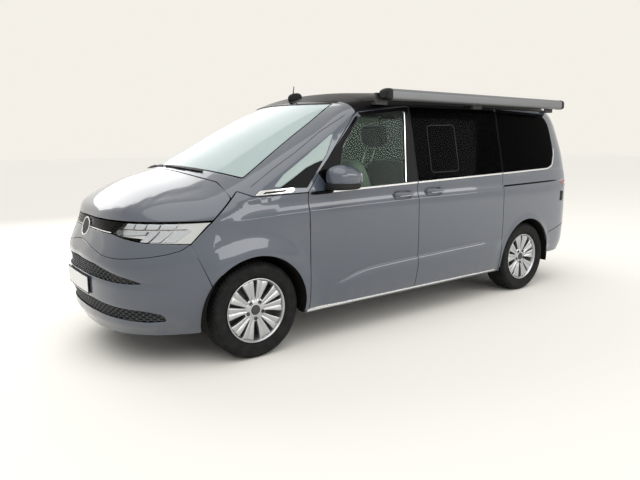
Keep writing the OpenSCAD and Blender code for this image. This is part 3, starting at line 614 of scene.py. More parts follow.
def joined(parts: Sequence[tuple[Array, list[Patch]]]) -> tuple[Array, list[Patch]]:
    """Several sets of points and patches as one."""
    pts, patches, first = [], [], 0
    for p, some in parts:
        pts.append(p)
        patches += [Patch(s.faces + first, s.normals, s.finish) for s in some]
        first += len(p)
    return np.vstack(pts), patches


def mirrored(points: Array, patches: Sequence[Patch]) -> tuple[Array, list[Patch]]:
    """The same shape on the other side of the van, with its faces turned to point outwards."""
    flip = np.array([1.0, -1.0, 1.0])
    other = [Patch(p.faces[:, ::-1], (p.normals * flip)[:, ::-1], p.finish) for p in patches]
    return points * flip, other


def grid_faces(rows: int, cols: int, wrap_rows: Fit = Fit.OPEN, wrap_cols: Fit = Fit.OPEN) -> Array:
    """Quads of a grid whose points run row by row."""
    i = np.arange(rows if wrap_rows is Fit.RING else rows - 1)
    j = np.arange(cols if wrap_cols is Fit.RING else cols - 1)
    a, b = np.meshgrid(i, j, indexing="ij")
    a, b = a.ravel(), b.ravel()
    a2, b2 = (a + 1) % rows, (b + 1) % cols
    return np.stack([a * cols + b, a * cols + b2, a2 * cols + b2, a2 * cols + b], 1)


def smooth_patch(points: Array, faces: Array, finish: int = 0) -> Patch:
    """Patch whose corner normals are the averages of the faces round each point, by their area."""
    p = points[faces]
    n = np.cross(p[:, 2] - p[:, 0], p[:, -1] - p[:, 1])
    if faces.shape[1] == 3:
        n = np.cross(p[:, 1] - p[:, 0], p[:, 2] - p[:, 0])
    total = np.zeros_like(points)
    for k in range(faces.shape[1]):
        np.add.at(total, faces[:, k], n)
    return Patch(faces, unit(total)[faces], finish)


def flat_patch(points: Array, faces: Array, finish: int = 0) -> Patch:
    """Patch whose faces are shaded flat."""
    p = points[faces]
    n = np.cross(p[:, 2] - p[:, 0], p[:, -1] - p[:, 1])
    if faces.shape[1] == 3:
        n = np.cross(p[:, 1] - p[:, 0], p[:, 2] - p[:, 0])
    return Patch(faces, np.repeat(unit(n)[:, None], faces.shape[1], 1), finish)


@dataclass
class Panel:
    """Pressed panel on a chart: an outer skin with rolled edges, a flange and an inner skin."""

    chart: Chart
    outline: Array
    holes: list = field(default_factory=list)
    gap: float = 2.5
    roll: float = 3.0
    depth: float = 22.0
    sunk: float = 0.0
    corner: float = 8.0
    hole_corner: float = 14.0
    hole_grow: float = 0.0
    pitch: float = 38.0
    edge_pitch: float = 14.0
    extra: Optional[Array] = None
    skin_finish: int = 0
    inner_finish: int = 1

    def loops(self) -> list[Array]:
        """Rounded loops of the panel's edge: outer one moved in by the gap, holes moved out."""
        outer = turned_left(rounded(self.outline, self.corner, self.edge_pitch))
        out = [grown(outer, -self.gap)]
        for hole in self.holes:
            h = turned_left(rounded(hole, self.hole_corner, self.edge_pitch))
            out.append(grown(h, self.hole_grow))
        return out

    def build(self) -> tuple[Array, list[Patch]]:
        """Works out points and patches of the whole panel.

        The roll is a quarter round: its row at angle a is set in by r(1 - sin a) and sunk by r(1 - cos a).

        Returns:
            Points in millimetres and patches.
        """
        edges = self.loops()
        ways = [-1.0] + [1.0] * (len(edges) - 1)
        set_in = [grown(e, w * self.roll) for e, w in zip(edges, ways)]
        uv, tris = filled(set_in, self.pitch, self.extra)
        top = self.chart.point(uv)
        n = self.chart.normal(uv)
        p = top[tris]
        away = (np.cross(p[:, 1] - p[:, 0], p[:, 2] - p[:, 0]) * n[tris[:, 0]]).sum(1) < 0
        tris = np.where(away[:, None], tris[:, ::-1], tris)
        pts = [top - n * self.sunk, top - n * (self.sunk + self.depth)]
        count = len(top)
        patches = [Patch(tris, n[tris], self.skin_finish),
                   Patch(tris[:, ::-1] + count, -n[tris[:, ::-1]], self.inner_finish)]
        first, base = 2 * count, 0
        for edge in edges:
            m = len(edge)
            k = np.arange(m)
            rows, normals = [], []
            e_p, e_n = self.chart.point(edge), self.chart.normal(edge)
            i_p, i_n = top[base:base + m], n[base:base + m]
            out = unit(e_p - i_p - e_n * ((e_p - i_p) * e_n).sum(1)[:, None])
            for a in (30, 60, 90):
                s, c = math.sin(math.radians(a)), math.cos(math.radians(a))
                rows.append(i_p * (1 - s) + e_p * s - e_n * (self.sunk + self.roll * (1 - c)))
                normals.append(unit(e_n * c + out * s))
            rows.append(e_p - e_n * (self.sunk + self.depth))
            normals.append(out)
            pts.append(np.vstack(rows))
            strips = [base + k] + [first + j * m + k for j in range(4)] + [count + base + k]
            nrm = [i_n] + normals
            for j in range(5):
                a, b = strips[j], strips[j + 1]
                quad = np.stack([a, np.roll(a, -1), np.roll(b, -1), b], 1)
                if j < 4:
                    na, nb = nrm[j], nrm[j + 1]
                else:
                    na, nb = -e_n, -e_n
                qn = np.stack([na, np.roll(na, -1, 0), np.roll(nb, -1, 0), nb], 1)
                patches.append(Patch(quad, qn, self.skin_finish if j < 3 else self.inner_finish))
            first += 4 * m
            base += m
        all_pts = np.vstack(pts)
        for patch in patches[2:]:
            q = all_pts[patch.faces]
            face_n = np.cross(q[:, 2] - q[:, 0], q[:, 3] - q[:, 1])
            turn = (face_n * patch.normals.mean(1)).sum(1).sum() < 0
            if turn:
                patch.faces = patch.faces[:, ::-1]
                patch.normals = patch.normals[:, ::-1]
        return all_pts, patches


# Finishes


class Val:
    """Socket of a shader node, with maths written as Python expressions."""

    def __init__(self, tree: bpy.types.NodeTree, socket: bpy.types.NodeSocket) -> None:
        """Wraps an output socket."""
        self.tree = tree
        self.socket = socket

    def _math(self, op: str, *args: Union["Val", float]) -> "Val":
        """Adds a Math node on values."""
        n = self.tree.nodes.new("ShaderNodeMath")
        n.operation = op
        for i, a in enumerate(args):
            if isinstance(a, Val):
                self.tree.links.new(a.socket, n.inputs[i])
            else:
                n.inputs[i].default_value = a
        return Val(self.tree, n.outputs[0])

    def __add__(self, o: Union["Val", float]) -> "Val":
        """Sum."""
        return self._math("ADD", self, o)

    def __radd__(self, o: float) -> "Val":
        """Sum with a number first."""
        return self._math("ADD", o, self)

    def __sub__(self, o: Union["Val", float]) -> "Val":
        """Difference."""
        return self._math("SUBTRACT", self, o)

    def __rsub__(self, o: float) -> "Val":
        """Difference from a number."""
        return self._math("SUBTRACT", o, self)

    def __mul__(self, o: Union["Val", float]) -> "Val":
        """Product."""
        return self._math("MULTIPLY", self, o)

    def __rmul__(self, o: float) -> "Val":
        """Product with a number first."""
        return self._math("MULTIPLY", o, self)

    def __truediv__(self, o: Union["Val", float]) -> "Val":
        """Quotient."""
        return self._math("DIVIDE", self, o)

    def __pow__(self, o: float) -> "Val":
        """Power."""
        return self._math("POWER", self, o)

    def sine(self) -> "Val":
        """Sine of a value in radians."""
        return self._math("SINE", self)

    def size(self) -> "Val":
        """Value without its sign."""
        return self._math("ABSOLUTE", self)

    def at_most(self, o: Union["Val", float]) -> "Val":
        """Smaller of two values."""
        return self._math("MINIMUM", self, o)

    def step(self, low: float, high: float) -> "Val":
        """0 below low, 1 above high and a smooth rise between, also with low above high."""
        n = self.tree.nodes.new("ShaderNodeMapRange")
        n.interpolation_type = "SMOOTHSTEP"
        self.tree.links.new(self.socket, n.inputs["Value"])
        flip = low > high
        n.inputs["From Min"].default_value = min(low, high)
        n.inputs["From Max"].default_value = max(low, high)
        n.inputs["To Min"].default_value = 1.0 if flip else 0.0
        n.inputs["To Max"].default_value = 0.0 if flip else 1.0
        return Val(self.tree, n.outputs["Result"])


Input = Union[Val, float, tuple]


class Shader:
    """Material in the making: one principled surface and the nodes that feed it."""

    def __init__(self, name: str) -> None:
        """Starts an empty material with its surface and output."""
        self.material = bpy.data.materials.new(name)
        self.material.use_nodes = True
        self.tree = self.material.node_tree
        self.tree.nodes.clear()
        self.out = self.tree.nodes.new("ShaderNodeOutputMaterial")
        self.surface = self.tree.nodes.new("ShaderNodeBsdfPrincipled")
        self.tree.links.new(self.surface.outputs[0], self.out.inputs["Surface"])

    def node(self, kind: str, settings: Optional[dict] = None, out: Union[str, int] = 0,
             **inputs: Input) -> Val:
        """Adds a node of any kind.

        Args:
            kind: Node type without its common prefix.
            settings: Properties to set first.
            out: Output wanted.
            inputs: Values or links by input name, with _ for a space.

        Returns:
            The wanted output.
        """
        n = self.tree.nodes.new("ShaderNode" + kind)
        for key, value in (settings or {}).items():
            if key == "stops":
                ramp = n.color_ramp
                while len(ramp.elements) < len(value):
                    ramp.elements.new(0.5)
                for e, (at, colour) in zip(ramp.elements, value):
                    e.position = at
                    e.color = (*colour, 1.0)
            else:
                setattr(n, key, value)
        for key, value in inputs.items():
            self.feed(n.inputs[key.replace("_", " ")], value)
        return Val(self.tree, n.outputs[out])

    def feed(self, socket: bpy.types.NodeSocket, value: Input) -> None:
        """Links a value to a socket, or sets the socket's own number or colour."""
        if isinstance(value, Val):
            self.tree.links.new(value.socket, socket)
        elif isinstance(value, tuple):
            socket.default_value = (*value, 1.0) if len(socket.default_value) == 4 else value
        else:
            socket.default_value = value

    def set(self, **inputs: Input) -> "Shader":
        """Feeds the surface's own sockets by name, with _ for a space."""
        for key, value in inputs.items():
            self.feed(self.surface.inputs[key.replace("_", " ")], value)
        return self

    def place(self) -> Val:
        """Coordinates of the piece in metres."""
        return self.node("TexCoord", out="Object")

    def parts(self, vector: Val) -> tuple[Val, Val, Val]:
        """The three numbers of a vector."""
        n = self.tree.nodes.new("ShaderNodeSeparateXYZ")
        self.tree.links.new(vector.socket, n.inputs[0])
        return tuple(Val(self.tree, o) for o in n.outputs)

    def noise(self, scale: float, detail: float = 3.0, at: Optional[Val] = None, rough: float = 0.5) -> Val:
        """Even noise from 0 to 1 on the piece."""
        return self.node("TexNoise", out=0, Vector=at or self.place(), Scale=scale, Detail=detail,
                         Roughness=rough)

    def cells(self, scale: float, at: Optional[Val] = None, feature: str = "F1") -> Val:
        """Distance to the nearest point of a scattered field."""
        return self.node("TexVoronoi", {"feature": feature}, out="Distance", Vector=at or self.place(),
                         Scale=scale)

    def mix(self, share: Val, a: Union[Val, tuple], b: Union[Val, tuple]) -> Val:
        """Colour between two colours."""
        n = self.tree.nodes.new("ShaderNodeMix")
        n.data_type = "RGBA"
        self.feed(n.inputs[0], share)
        self.feed(n.inputs[6], a)
        self.feed(n.inputs[7], b)
        return Val(self.tree, n.outputs[2])

    def bump(self, height: Val, depth: float, strength: float = 1.0) -> "Shader":
        """Raises the surface by a height pattern, with its depth in metres."""
        self.set(Normal=self.node("Bump", Height=height, Distance=depth, Strength=strength))
        return self

    def see_through(self, share: Val, tint: tuple, gloss: float) -> "Shader":
        """Mixes the surface with a tinted clear one, by a share of the surface."""
        clear = self.node("BsdfTransparent", Color=tint)
        mixed = self.tree.nodes.new("ShaderNodeMixShader")
        self.feed(mixed.inputs[0], share)
        self.tree.links.new(clear.socket, mixed.inputs[1])
        self.tree.links.new(self.surface.outputs[0], mixed.inputs[2])
        self.tree.links.new(mixed.outputs[0], self.out.inputs["Surface"])
        self.set(Roughness=gloss)
        return self


@dataclass(frozen=True)
class Finish:
    """Plain moulded or coated finish: colour that drifts a little, uneven gloss and a fine grain."""

    name: str
    colour: tuple = (0.1, 0.1, 0.1)
    other: tuple = (0.12, 0.12, 0.12)
    drift: float = 6.0
    metallic: float = 0.0
    gloss: tuple = (0.4, 0.5)
    grain: float = 400.0
    depth: float = 0.00005
    coat: float = 0.0
    specular: float = 0.5

    def make(self) -> bpy.types.Material:
        """Builds the material."""
        s = Shader(self.name)
        cloud = s.noise(self.drift)
        fine = s.noise(self.grain, 2.0)
        s.set(Base_Color=s.mix(cloud, self.colour, self.other), Metallic=self.metallic,
              Coat_Weight=self.coat)
        s.set(Roughness=self.gloss[0] + (self.gloss[1] - self.gloss[0]) * fine,
              Specular_IOR_Level=self.specular)
        s.surface.inputs["Coat Roughness"].default_value = 0.04
        s.bump(fine, self.depth)
        return s.material


@dataclass(frozen=True)
class Paint(Finish):
    """Body paint under clear lacquer, with a faint haze and road dust low down."""

    dust: tuple = (0.16, 0.155, 0.145)
    dust_high: float = 0.42

    def make(self) -> bpy.types.Material:
        """Builds the paint: fine flake, slow drift and dust that fades with height."""
        s = Shader(self.name)
        at = s.place()
        _, _, z = s.parts(at)
        cloud = s.noise(self.drift, 4.0, at)
        flake = s.cells(1400.0, at)
        base = s.mix(cloud * 0.6 + flake * 0.4, self.colour, self.other)
        film = z.step(self.dust_high, 0.24) * s.noise(9.0, 5.0, at).step(0.3, 0.75) * 0.4
        s.set(Base_Color=s.mix(film, base, self.dust), Metallic=self.metallic)
        s.set(Roughness=0.3 + 0.1 * cloud + 0.25 * film, Coat_Weight=1.0 - 0.7 * film)
        s.surface.inputs["Coat Roughness"].default_value = 0.025
        s.surface.inputs["Coat IOR"].default_value = 1.5
        s.bump(s.noise(140.0, 2.0, at), 0.00003)
        return s.material


@dataclass(frozen=True)
class Glass(Finish):
    """Window glass: a glossy surface mixed with a tinted clear one; the surface is dark, or pale on the
    windscreen as a painted reflection of the sky.
    """

    tint: tuple = (0.7, 0.75, 0.75)
    body: float = 0.1

    def make(self) -> bpy.types.Material:
        """Builds the glass: more surface at a slant, faint streaks in the gloss."""
        s = Shader(self.name)
        streak = s.noise(7.0, 4.0)
        rim = s.node("LayerWeight", out="Fresnel", Blend=0.28)
        s.set(Base_Color=s.mix(streak, self.colour, self.other), Specular_IOR_Level=self.specular,
              Metallic=self.metallic)
        s.see_through((rim * 0.75 + self.body).at_most(1.0), self.tint, 0.03)
        s.set(Roughness=0.015 + 0.03 * streak)
        return s.material


@dataclass(frozen=True)
class Cloth(Finish):
    """Woven seat cloth with crossing threads and a soft sheen."""

    thread: float = 900.0

    def make(self) -> bpy.types.Material:
        """Builds the cloth: two sets of threads that pass over each other."""
        s = Shader(self.name)
        at = s.place()
        x, y, z = s.parts(at)
        a = ((y * 1.0 + x * 0.15) * self.thread * 2).sine().size()
        b = ((z + x) * self.thread * 2).sine().size()
        weave = a * b
        cloud = s.noise(self.drift, 5.0, at)
        s.set(Base_Color=s.mix(weave * 0.7 + cloud * 0.3, self.colour, self.other))
        s.set(Roughness=0.8 + 0.15 * weave, Sheen_Weight=0.35, Specular_IOR_Level=0.25)
        s.bump(weave + 0.3 * cloud, 0.0006, 0.6)
        return s.material


@dataclass(frozen=True)
class Wood(Finish):
    """Pale board with long grain."""

    def make(self) -> bpy.types.Material:
        """Builds the board: noise stretched along the van, cut into rings."""
        s = Shader(self.name)
        at = s.node("Mapping", Vector=s.place(), Scale=(0.6, 9.0, 9.0))
        grain = (s.noise(6.0, 5.0, at) * 40.0).sine() * 0.5 + 0.5
        s.set(Base_Color=s.mix(grain, self.colour, self.other), Roughness=0.45 + 0.15 * grain)
        s.bump(grain, 0.0003, 0.4)
        return s.material


@dataclass(frozen=True)
class Rubber(Finish):
    """Tyre rubber: colour scuffed by noise, and a fine grain in the gloss and the bumps."""

    hub: tuple = (0.0, 0.0)

    def make(self) -> bpy.types.Material:
        """Builds the rubber: scuffed noise and a fine grain."""
        s = Shader(self.name)
        at = s.place()
        cloud = s.noise(16.0, 6.0, at)
        fine = s.noise(260.0, 3.0, at)
        s.set(Base_Color=s.mix(cloud.step(0.35, 0.8), self.colour, self.other), Specular_IOR_Level=0.18)
        s.set(Roughness=0.6 + 0.25 * fine)
        s.bump(fine, 0.0004, 0.5)
        return s.material


class Palette:
    """All finishes of the van, each made once."""

    SPECS = (
        Paint("slate_paint", (0.055, 0.069, 0.094), (0.061, 0.076, 0.102), 3.0),
        Finish("gloss_black", (0.002, 0.002, 0.0025), (0.004, 0.004, 0.0045), gloss=(0.08, 0.16),
               specular=0.05, depth=0.00001),
        Finish("roof_black", (0.007, 0.0072, 0.0075), (0.011, 0.0112, 0.0115), gloss=(0.34, 0.46),
               specular=0.1, depth=0.00001),
        Finish("grained_plastic", (0.008, 0.008, 0.0085), (0.013, 0.013, 0.0135), gloss=(0.45, 0.65),
               grain=700.0, depth=0.0002, specular=0.2),
        Finish("mesh_grey", (0.055, 0.058, 0.062), (0.08, 0.083, 0.088), gloss=(0.35, 0.5), grain=700.0,
               depth=0.0001),
        Finish("cabin_trim", (0.035, 0.036, 0.038), (0.05, 0.05, 0.052), gloss=(0.6, 0.8), grain=600.0,
               depth=0.0002),
        Finish("underside", (0.004, 0.004, 0.004), (0.009, 0.0085, 0.008), gloss=(0.75, 0.95), grain=120.0,
               depth=0.0006, specular=0.12),
        Glass("clear_glass", (0.03, 0.035, 0.035), (0.04, 0.045, 0.045), tint=(0.80, 0.88, 0.83), body=0.05),
        # Windscreen glass: its pale base colour and large surface share are a painted reflection of the pale
        # sky, in place of a mirrored one.
        Glass("screen_glass", (0.55, 0.645, 0.63), (0.61, 0.70, 0.685), tint=(0.72, 0.80, 0.76), body=0.62,
              specular=0.15),
        Glass("privacy_glass", (0.002, 0.002, 0.0025), (0.003, 0.003, 0.0035),
              tint=(0.40, 0.43, 0.41), body=0.28, specular=0.03),
        Glass("lamp_cover", (0.05, 0.05, 0.05), (0.06, 0.06, 0.06), tint=(0.985, 0.99, 0.995), body=0.01),
        Finish("bright_trim", (0.78, 0.79, 0.80), (0.86, 0.87, 0.88), metallic=1.0, gloss=(0.08, 0.2),
               depth=0.00002),
        Finish("alloy", (0.42, 0.43, 0.44), (0.51, 0.52, 0.53), metallic=0.9, gloss=(0.22, 0.36),
               grain=900.0, depth=0.00004, drift=14.0),
        Finish("dark_metal", (0.05, 0.05, 0.052), (0.09, 0.088, 0.086), metallic=0.8, gloss=(0.45, 0.65),
               grain=200.0, depth=0.0002),
        Rubber("tyre_rubber", (0.006, 0.006, 0.0065), (0.015, 0.015, 0.015)),
        Finish("seal_rubber", (0.008, 0.008, 0.008), (0.014, 0.014, 0.014), gloss=(0.55, 0.75), grain=500.0,
               depth=0.0001),
        Finish("lamp_white", (0.90, 0.91, 0.92), (0.95, 0.96, 0.97), gloss=(0.1, 0.25), coat=0.5,
               depth=0.00002),
        Finish("lamp_chrome", (0.70, 0.71, 0.72), (0.82, 0.83, 0.84), metallic=1.0, gloss=(0.05, 0.15),
               depth=0.00002),
        Finish("lamp_red", (0.16, 0.006, 0.008), (0.24, 0.012, 0.012), gloss=(0.06, 0.12), coat=0.8,
               depth=0.00001),
        Finish("plate_white", (0.74, 0.74, 0.73), (0.82, 0.82, 0.81), gloss=(0.3, 0.4), grain=900.0),
        Finish("awning_case", (0.15, 0.154, 0.16), (0.18, 0.184, 0.19), metallic=0.35, gloss=(0.34, 0.46),
               grain=800.0, depth=0.00005),
        Cloth("seat_cloth", (0.38, 0.40, 0.34), (0.58, 0.60, 0.52)),
        Cloth("dark_cloth", (0.022, 0.022, 0.023), (0.045, 0.045, 0.047)),
        Wood("board", (0.42, 0.26, 0.13), (0.56, 0.37, 0.20)),
        Wood("tan_board", (0.62, 0.40, 0.22), (0.76, 0.52, 0.31)),
    )

    def __init__(self) -> None:
        """Makes every finish."""
        self._made = {spec.name: spec.make() for spec in self.SPECS}

    def __getitem__(self, name: str) -> bpy.types.Material:
        """Material by name."""
        return self._made[name]


# Creases and flares of the skin


@dataclass
class Creases:
    """Small forms on the body, as distances along its normal."""

    hub_z: float = 345.0
    axles: tuple = (1535.5, -1588.5)
    arch_r: float = 395.0
    belt_from: float = 554.0
    belt_front: float = 1168.0
    belt_rise: float = 72.0 / 2513.0
    handles: tuple = ((157, 1084), (-212, 1094))

    def __post_init__(self) -> None:
        """Sets the lines along which the creases run, as height over length."""
        self.shoulder = Curve([(-2480, 1104), (-1200, 1093), (157, 1080), (1105, 1058), (1500, 1042),
                               (1900, 1010)])
        self.fold = Curve([(-1300, 592), (-984, 583), (20, 553), (536, 530), (720, 492), (857, 444),
                           (1000, 385)])
        self.spine = Curve([(1600, 655), (2000, 600), (2420, 455)])

    def belt(self, x: Array) -> Array:
        """Height of the belt line."""
        return self.belt_front + (self.belt_from - x) * self.belt_rise

    def __call__(self, p: Array) -> Array:
        """Shift along the normal at points on the bare body.

        The shoulder and the fold are one-sided swells, the arches have a lip, the bonnet a raised middle,
        the doors a hollow behind each handle, and the bumper two hollow bands above a lip.
        """
        x, y, z = p[:, 0], np.abs(p[:, 1]), p[:, 2]
        side = smooth((y - 690) / 90)
        out = -14.0 * crest((z - self.shoulder(x) + 34) / 66) * smooth((self.belt(x) - z) / 40)
        out *= smooth((x + 2400) / 160) * smooth((1760 - x) / 300) * side
        ends = smooth((x + 1240) / 190) * smooth((930 - x) / 230)
        out += 14.0 * crest((self.fold(x) - z) / 58) * smooth((z - 236) / 60) * ends * side
        out -= 5.0 * np.exp(-(((z - self.fold(x) - 3) / 8) ** 2)) * ends * side
        for axle in self.axles:
            r = np.hypot(x - axle, z - self.hub_z)
            high, wide = (16.0, 165.0) if axle > 0 else (9.0, 62.0)
            out += high * (1 - smooth((r - self.arch_r) / wide)) * side * smooth((z - 240) / 60)
        rise = smooth((self.spine(x) - y) / 56 + 0.5)
        out += 6.0 * rise * smooth((x - 1700) / 160) * smooth((z - 1012) / 60)
        for hx, hz in self.handles:
            out -= 13.0 * np.exp(-(((x - hx) / 84) ** 4) - (((z - hz) / 27) ** 4)) * side
        front = smooth((x - 1950) / 120)
        band = np.interp(y, [0, 420, 640, 830], [668, 648, 616, 588])
        fade = smooth((840 - y) / 110)
        reach = np.interp(y, [0, 420, 700], [58, 46, 20])
        out += front * fade * -14.0 * np.exp(-(((z - band) / reach) ** 2))
        out += front * fade * -12.0 * np.exp(-(((z - 392) / 42) ** 2))
        out += front * fade * 7.0 * np.exp(-(((z - 312) / 26) ** 2))
        return out


def arc(cx: float, cz: float, r: float, a0: float, a1: float, n: int = 40) -> list[tuple[float, float]]:
    """Points of a circle from one angle to another, in degrees."""
    a = np.radians(np.linspace(a0, a1, n))
    return [(float(cx + r * c), float(cz + r * s)) for c, s in zip(np.cos(a), np.sin(a))]


def both_halves(half: Array) -> Array:
    """Closed loop from a left half line that starts and ends on the centre line."""
    other = half[::-1] * np.array([1.0, -1.0, 1.0])
    return np.vstack([half, other])


def chain(*lines: Array) -> Array:
    """Lines joined end to end."""
    return np.vstack(lines)


class Fleet:
    """Adds finished pieces to the scene, tells the frame what they ride on and keeps count."""

    def __init__(self, frame: dict, palette: Palette) -> None:
        """Keeps the frame and the finishes."""
        self.frame = frame
        self.palette = palette

    def add(self, name: str, shape: tuple[Array, list[Patch]], finishes: Sequence[str], body: str,
            slot: str, replaces: Sequence[str] = ()) -> bpy.types.Object:
        """Puts a piece into the scene.

        Args:
            name: Name of the piece.
            shape: Points and patches in millimetres.
            finishes: Names of its finishes in the order of the finish numbers.
            body: Body that it rides on.
            slot: Material slot of the record; not used.
            replaces: Solids that it stands for.

        Returns:
            The new object.
        """
        obj = put_mesh(name, shape[0], shape[1], [self.palette[f] for f in finishes])
        return self.settle(obj, body, replaces)

    def settle(self, obj: bpy.types.Object, body: str,
               replaces: Sequence[str] = ()) -> bpy.types.Object:
        """Lets a finished object ride on a body and stand for solids."""
        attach(obj, body)
        if replaces:
            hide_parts(*replaces)
        log.info("%s on %s: %d faces", obj.name, body, len(obj.data.polygons))
        return obj

    def dress(self, finish: str, *nodes: str) -> None:
        """Gives carried-over solids a finish."""
        for n in nodes:
            mesh = self.frame["nodes"][n].data
            mesh.materials.clear()
            mesh.materials.append(self.palette[finish])


@dataclass
class Outlines:
    """Lines of the panels and panes, in millimetres, on the left half of the van."""

    shape: BodyShape
    door_front: float = 1105.0
    door_rear: float = -12.0
    slide_rear: float = -1172.0
    door_low: float = 250.0
    door_high: float = 1806.0
    hub_z: float = 345.0
    axle_f: float = 1535.5
    axle_r: float = -1588.5
    arch_r: float = 395.0
    nose_seam: float = 1003.0
    pop_front: float = 430.0
    pop_rear: float = -2190.0
    tail_top: float = -2290.0
    bumper_low: float = 232.0
    tail_low: float = 338.0

    def __post_init__(self) -> None:
        """Makes the charts and the tracer."""
        crease = Creases()
        self.crease = crease
        self.draw = Tracer(self.shape)
        self.side = SideChart(self.shape, crease)
        self.front = TurnChart(self.shape, crease, 1100.0, 1000.0, 1.0)
        self.rear = TurnChart(self.shape, crease, -1250.0, 1000.0, -1.0)
        self.dome = DomeChart(self.shape, crease, (900.0, 0.0, 950.0), 950.0)
        self.lid = DomeChart(self.shape, crease, (1780.0, 0.0, 760.0), 600.0)
        self.barrel = BarrelChart(self.shape, crease)

    def belt(self, x: float) -> float:
        """Height of the belt line."""
        return float(self.crease.belt(np.array(x)))

    def door(self) -> Array:
        """Front door in the side view."""
        f, r, low, top = self.door_front, self.door_rear, self.door_low, self.door_high
        return np.array([(f, low), (f, 1158), (590, 1716), (540, 1748), (80, top - 6), (r + 9, top),
                         (r, 1198), (r, low)])

    def door_window(self) -> Array:
        """Window of the front door in the side view."""
        b = self.belt
        return np.array([(972, b(972)), (574, 1682), (524, 1712), (100, 1764), (58, 1762), (62, b(62))])

    def sliding(self) -> Array:
        """Sliding door in the side view."""
        f, r, low, top = self.door_rear, self.slide_rear, self.door_low, self.door_high
        return np.array([(f, low), (f, top), (r, top + 4), (r, low)])

    def sliding_window(self) -> Array:
        """Dark pane of the sliding door in the side view."""
        f, r, top = self.door_rear - 8, self.slide_rear + 8, self.door_high - 8
        return np.array([(f, self.belt(f)), (f, top), (r, top + 4), (r, self.belt(r))])

    def quarter_window(self) -> Array:
        """Dark pane of the rear side in the side view."""
        f = self.slide_rear - 8
        return np.array([(f, self.belt(f)), (-1950, self.belt(-1950)), (-2040, 1272), (-2098, 1380),
                         (-2104, 1480), (-2092, 1620), (-2064, 1706), (-1996, 1766),
                         (f, self.door_high - 10)])

    def quarter_light(self) -> Array:
        """Three-cornered pane between the front pillars in the side view."""
        return np.array([(1384, 1206), (1290, 1290), (1064, 1426), (826, 1576), (802, 1582), (900, 1420),
                         (1112, 1196)])

    def fender(self) -> Array:
        """Front wing in the side view, over the wheel arch."""
        top = [(self.door_front, self.door_low), (self.door_front, 1153), (1545, 1147), (1640, 1187),
               (1832, 1001), (1985, 852), (1866, 572)]
        end = math.degrees(math.asin((self.hub_z - self.door_low) / self.arch_r))
        ring = arc(self.axle_f, self.hub_z, self.arch_r, 34.0, 180 + end)
        return np.array(top + ring)

    def quarter(self) -> Array:
        """Rear side panel as a loop on the rear chart."""
        d = self.draw
        front = d.side([(self.slide_rear, self.door_low), (self.slide_rear, 1818)])
        over = self.rear.flat(np.vstack([front[-1:], d.ends([(747, 1818), (747, 1818.1)], -1)[:1]]))
        top = d.level(self.rear, over.tolist())
        tail_a = d.ends([(747, 1818), (748, 1790), (796, 1108)], -1)
        tip = d.side([(-2252, 1080), (-2252, 1070)])
        tail_b = d.ends([(800, 1000), (800, 640)], -1)
        foot = d.side([(-2330, 636), (-2330, 635)])[:1]
        under = d.level(self.rear, self.rear.flat(np.vstack([tail_b[-1:], foot])).tolist())
        low = d.side([(-2330, 636), (-1975, 560), (-1959, 482)])
        end = math.degrees(math.asin((self.hub_z - self.door_low) / self.arch_r))
        arch = d.side(arc(self.axle_r, self.hub_z, self.arch_r, 159.8, -end))
        return self.rear.flat(chain(front, top, tail_a, tip, tail_b, under, low, arch))

    def tail_lamp(self) -> Array:
        """Tail lamp as a loop on the rear chart."""
        d = self.draw
        a = d.ends([(796, 1108), (800, 1000)], -1)
        tip = d.side([(-2252, 1070), (-2252, 1080)])
        return self.rear.flat(chain(a, tip))

    def tailgate(self) -> Array:
        """Tailgate as a loop on the rear chart."""
        d = self.draw
        low = d.ends([(0, 640), (800, 640)], -1)
        up = d.ends([(800, 640), (800, 1150), (748, 1790)], -1)
        top = d.plan([(self.tail_top, 730), (self.tail_top, 0)])
        return self.rear.flat(both_halves(chain(low, up, top)))

    def tail_window(self) -> Array:
        """Pane of the tailgate as a loop on the rear chart."""
        half = self.draw.ends([(0, 1186), (690, 1190), (700, 1260), (648, 1722), (0, 1738)], -1)
        return self.rear.flat(both_halves(half))

    def rear_bumper(self) -> Array:
        """Rear bumper as a loop on the rear chart."""
        d = self.draw
        top = d.level(self.rear, self.rear.flat(np.vstack(
            [d.ends([(0, 636), (0.1, 636)], -1)[:1], d.side([(-2330, 636), (-2330, 635)])[:1]])).tolist())
        edge = d.side([(-2330, 636), (-1975, 560), (-1959, 482)])
        arch = d.side(arc(self.axle_r, self.hub_z, self.arch_r, 159.8, 181.0, 12))
        last = self.rear.flat(arch[-1:])[0]
        low = d.level(self.rear, [tuple(last), (0.0, self.tail_low)])
        return self.rear.flat(both_halves(chain(top, edge, arch, low)))

    def chin(self) -> list[tuple[float, float]]:
        """Line between bumper and nose, as width and height."""
        dip = Curve([(0, 838), (120, 829), (300, 797), (450, 771), (560, 765), (700, 776), (800, 797),
                     (836, 818)])
        return [(y, float(dip(y))) for y in np.linspace(0, 836, 24)]

    def lamp_corner(self) -> Array:
        """Outer low corner of the headlamp on the wing's edge."""
        return self.draw.side([(1980, 858), (1980, 857)])[:1]

    def bumper(self) -> Array:
        """Front bumper as a loop on the front chart."""
        d = self.draw
        top = d.ends(self.chin())
        corner = self.lamp_corner()
        bridge = d.level(self.front, self.front.flat(np.vstack([top[-1:], corner])).tolist())
        edge = d.side([(1980, 852), (1866, 572)])
        arch = d.side(arc(self.axle_f, self.hub_z, self.arch_r, 34.0, -16.0, 24))
        last = self.front.flat(arch[-1:])[0]
        low = d.level(self.front, [tuple(last), (0.0, self.bumper_low)])
        return self.front.flat(both_halves(chain(top, bridge, edge, arch, low)))

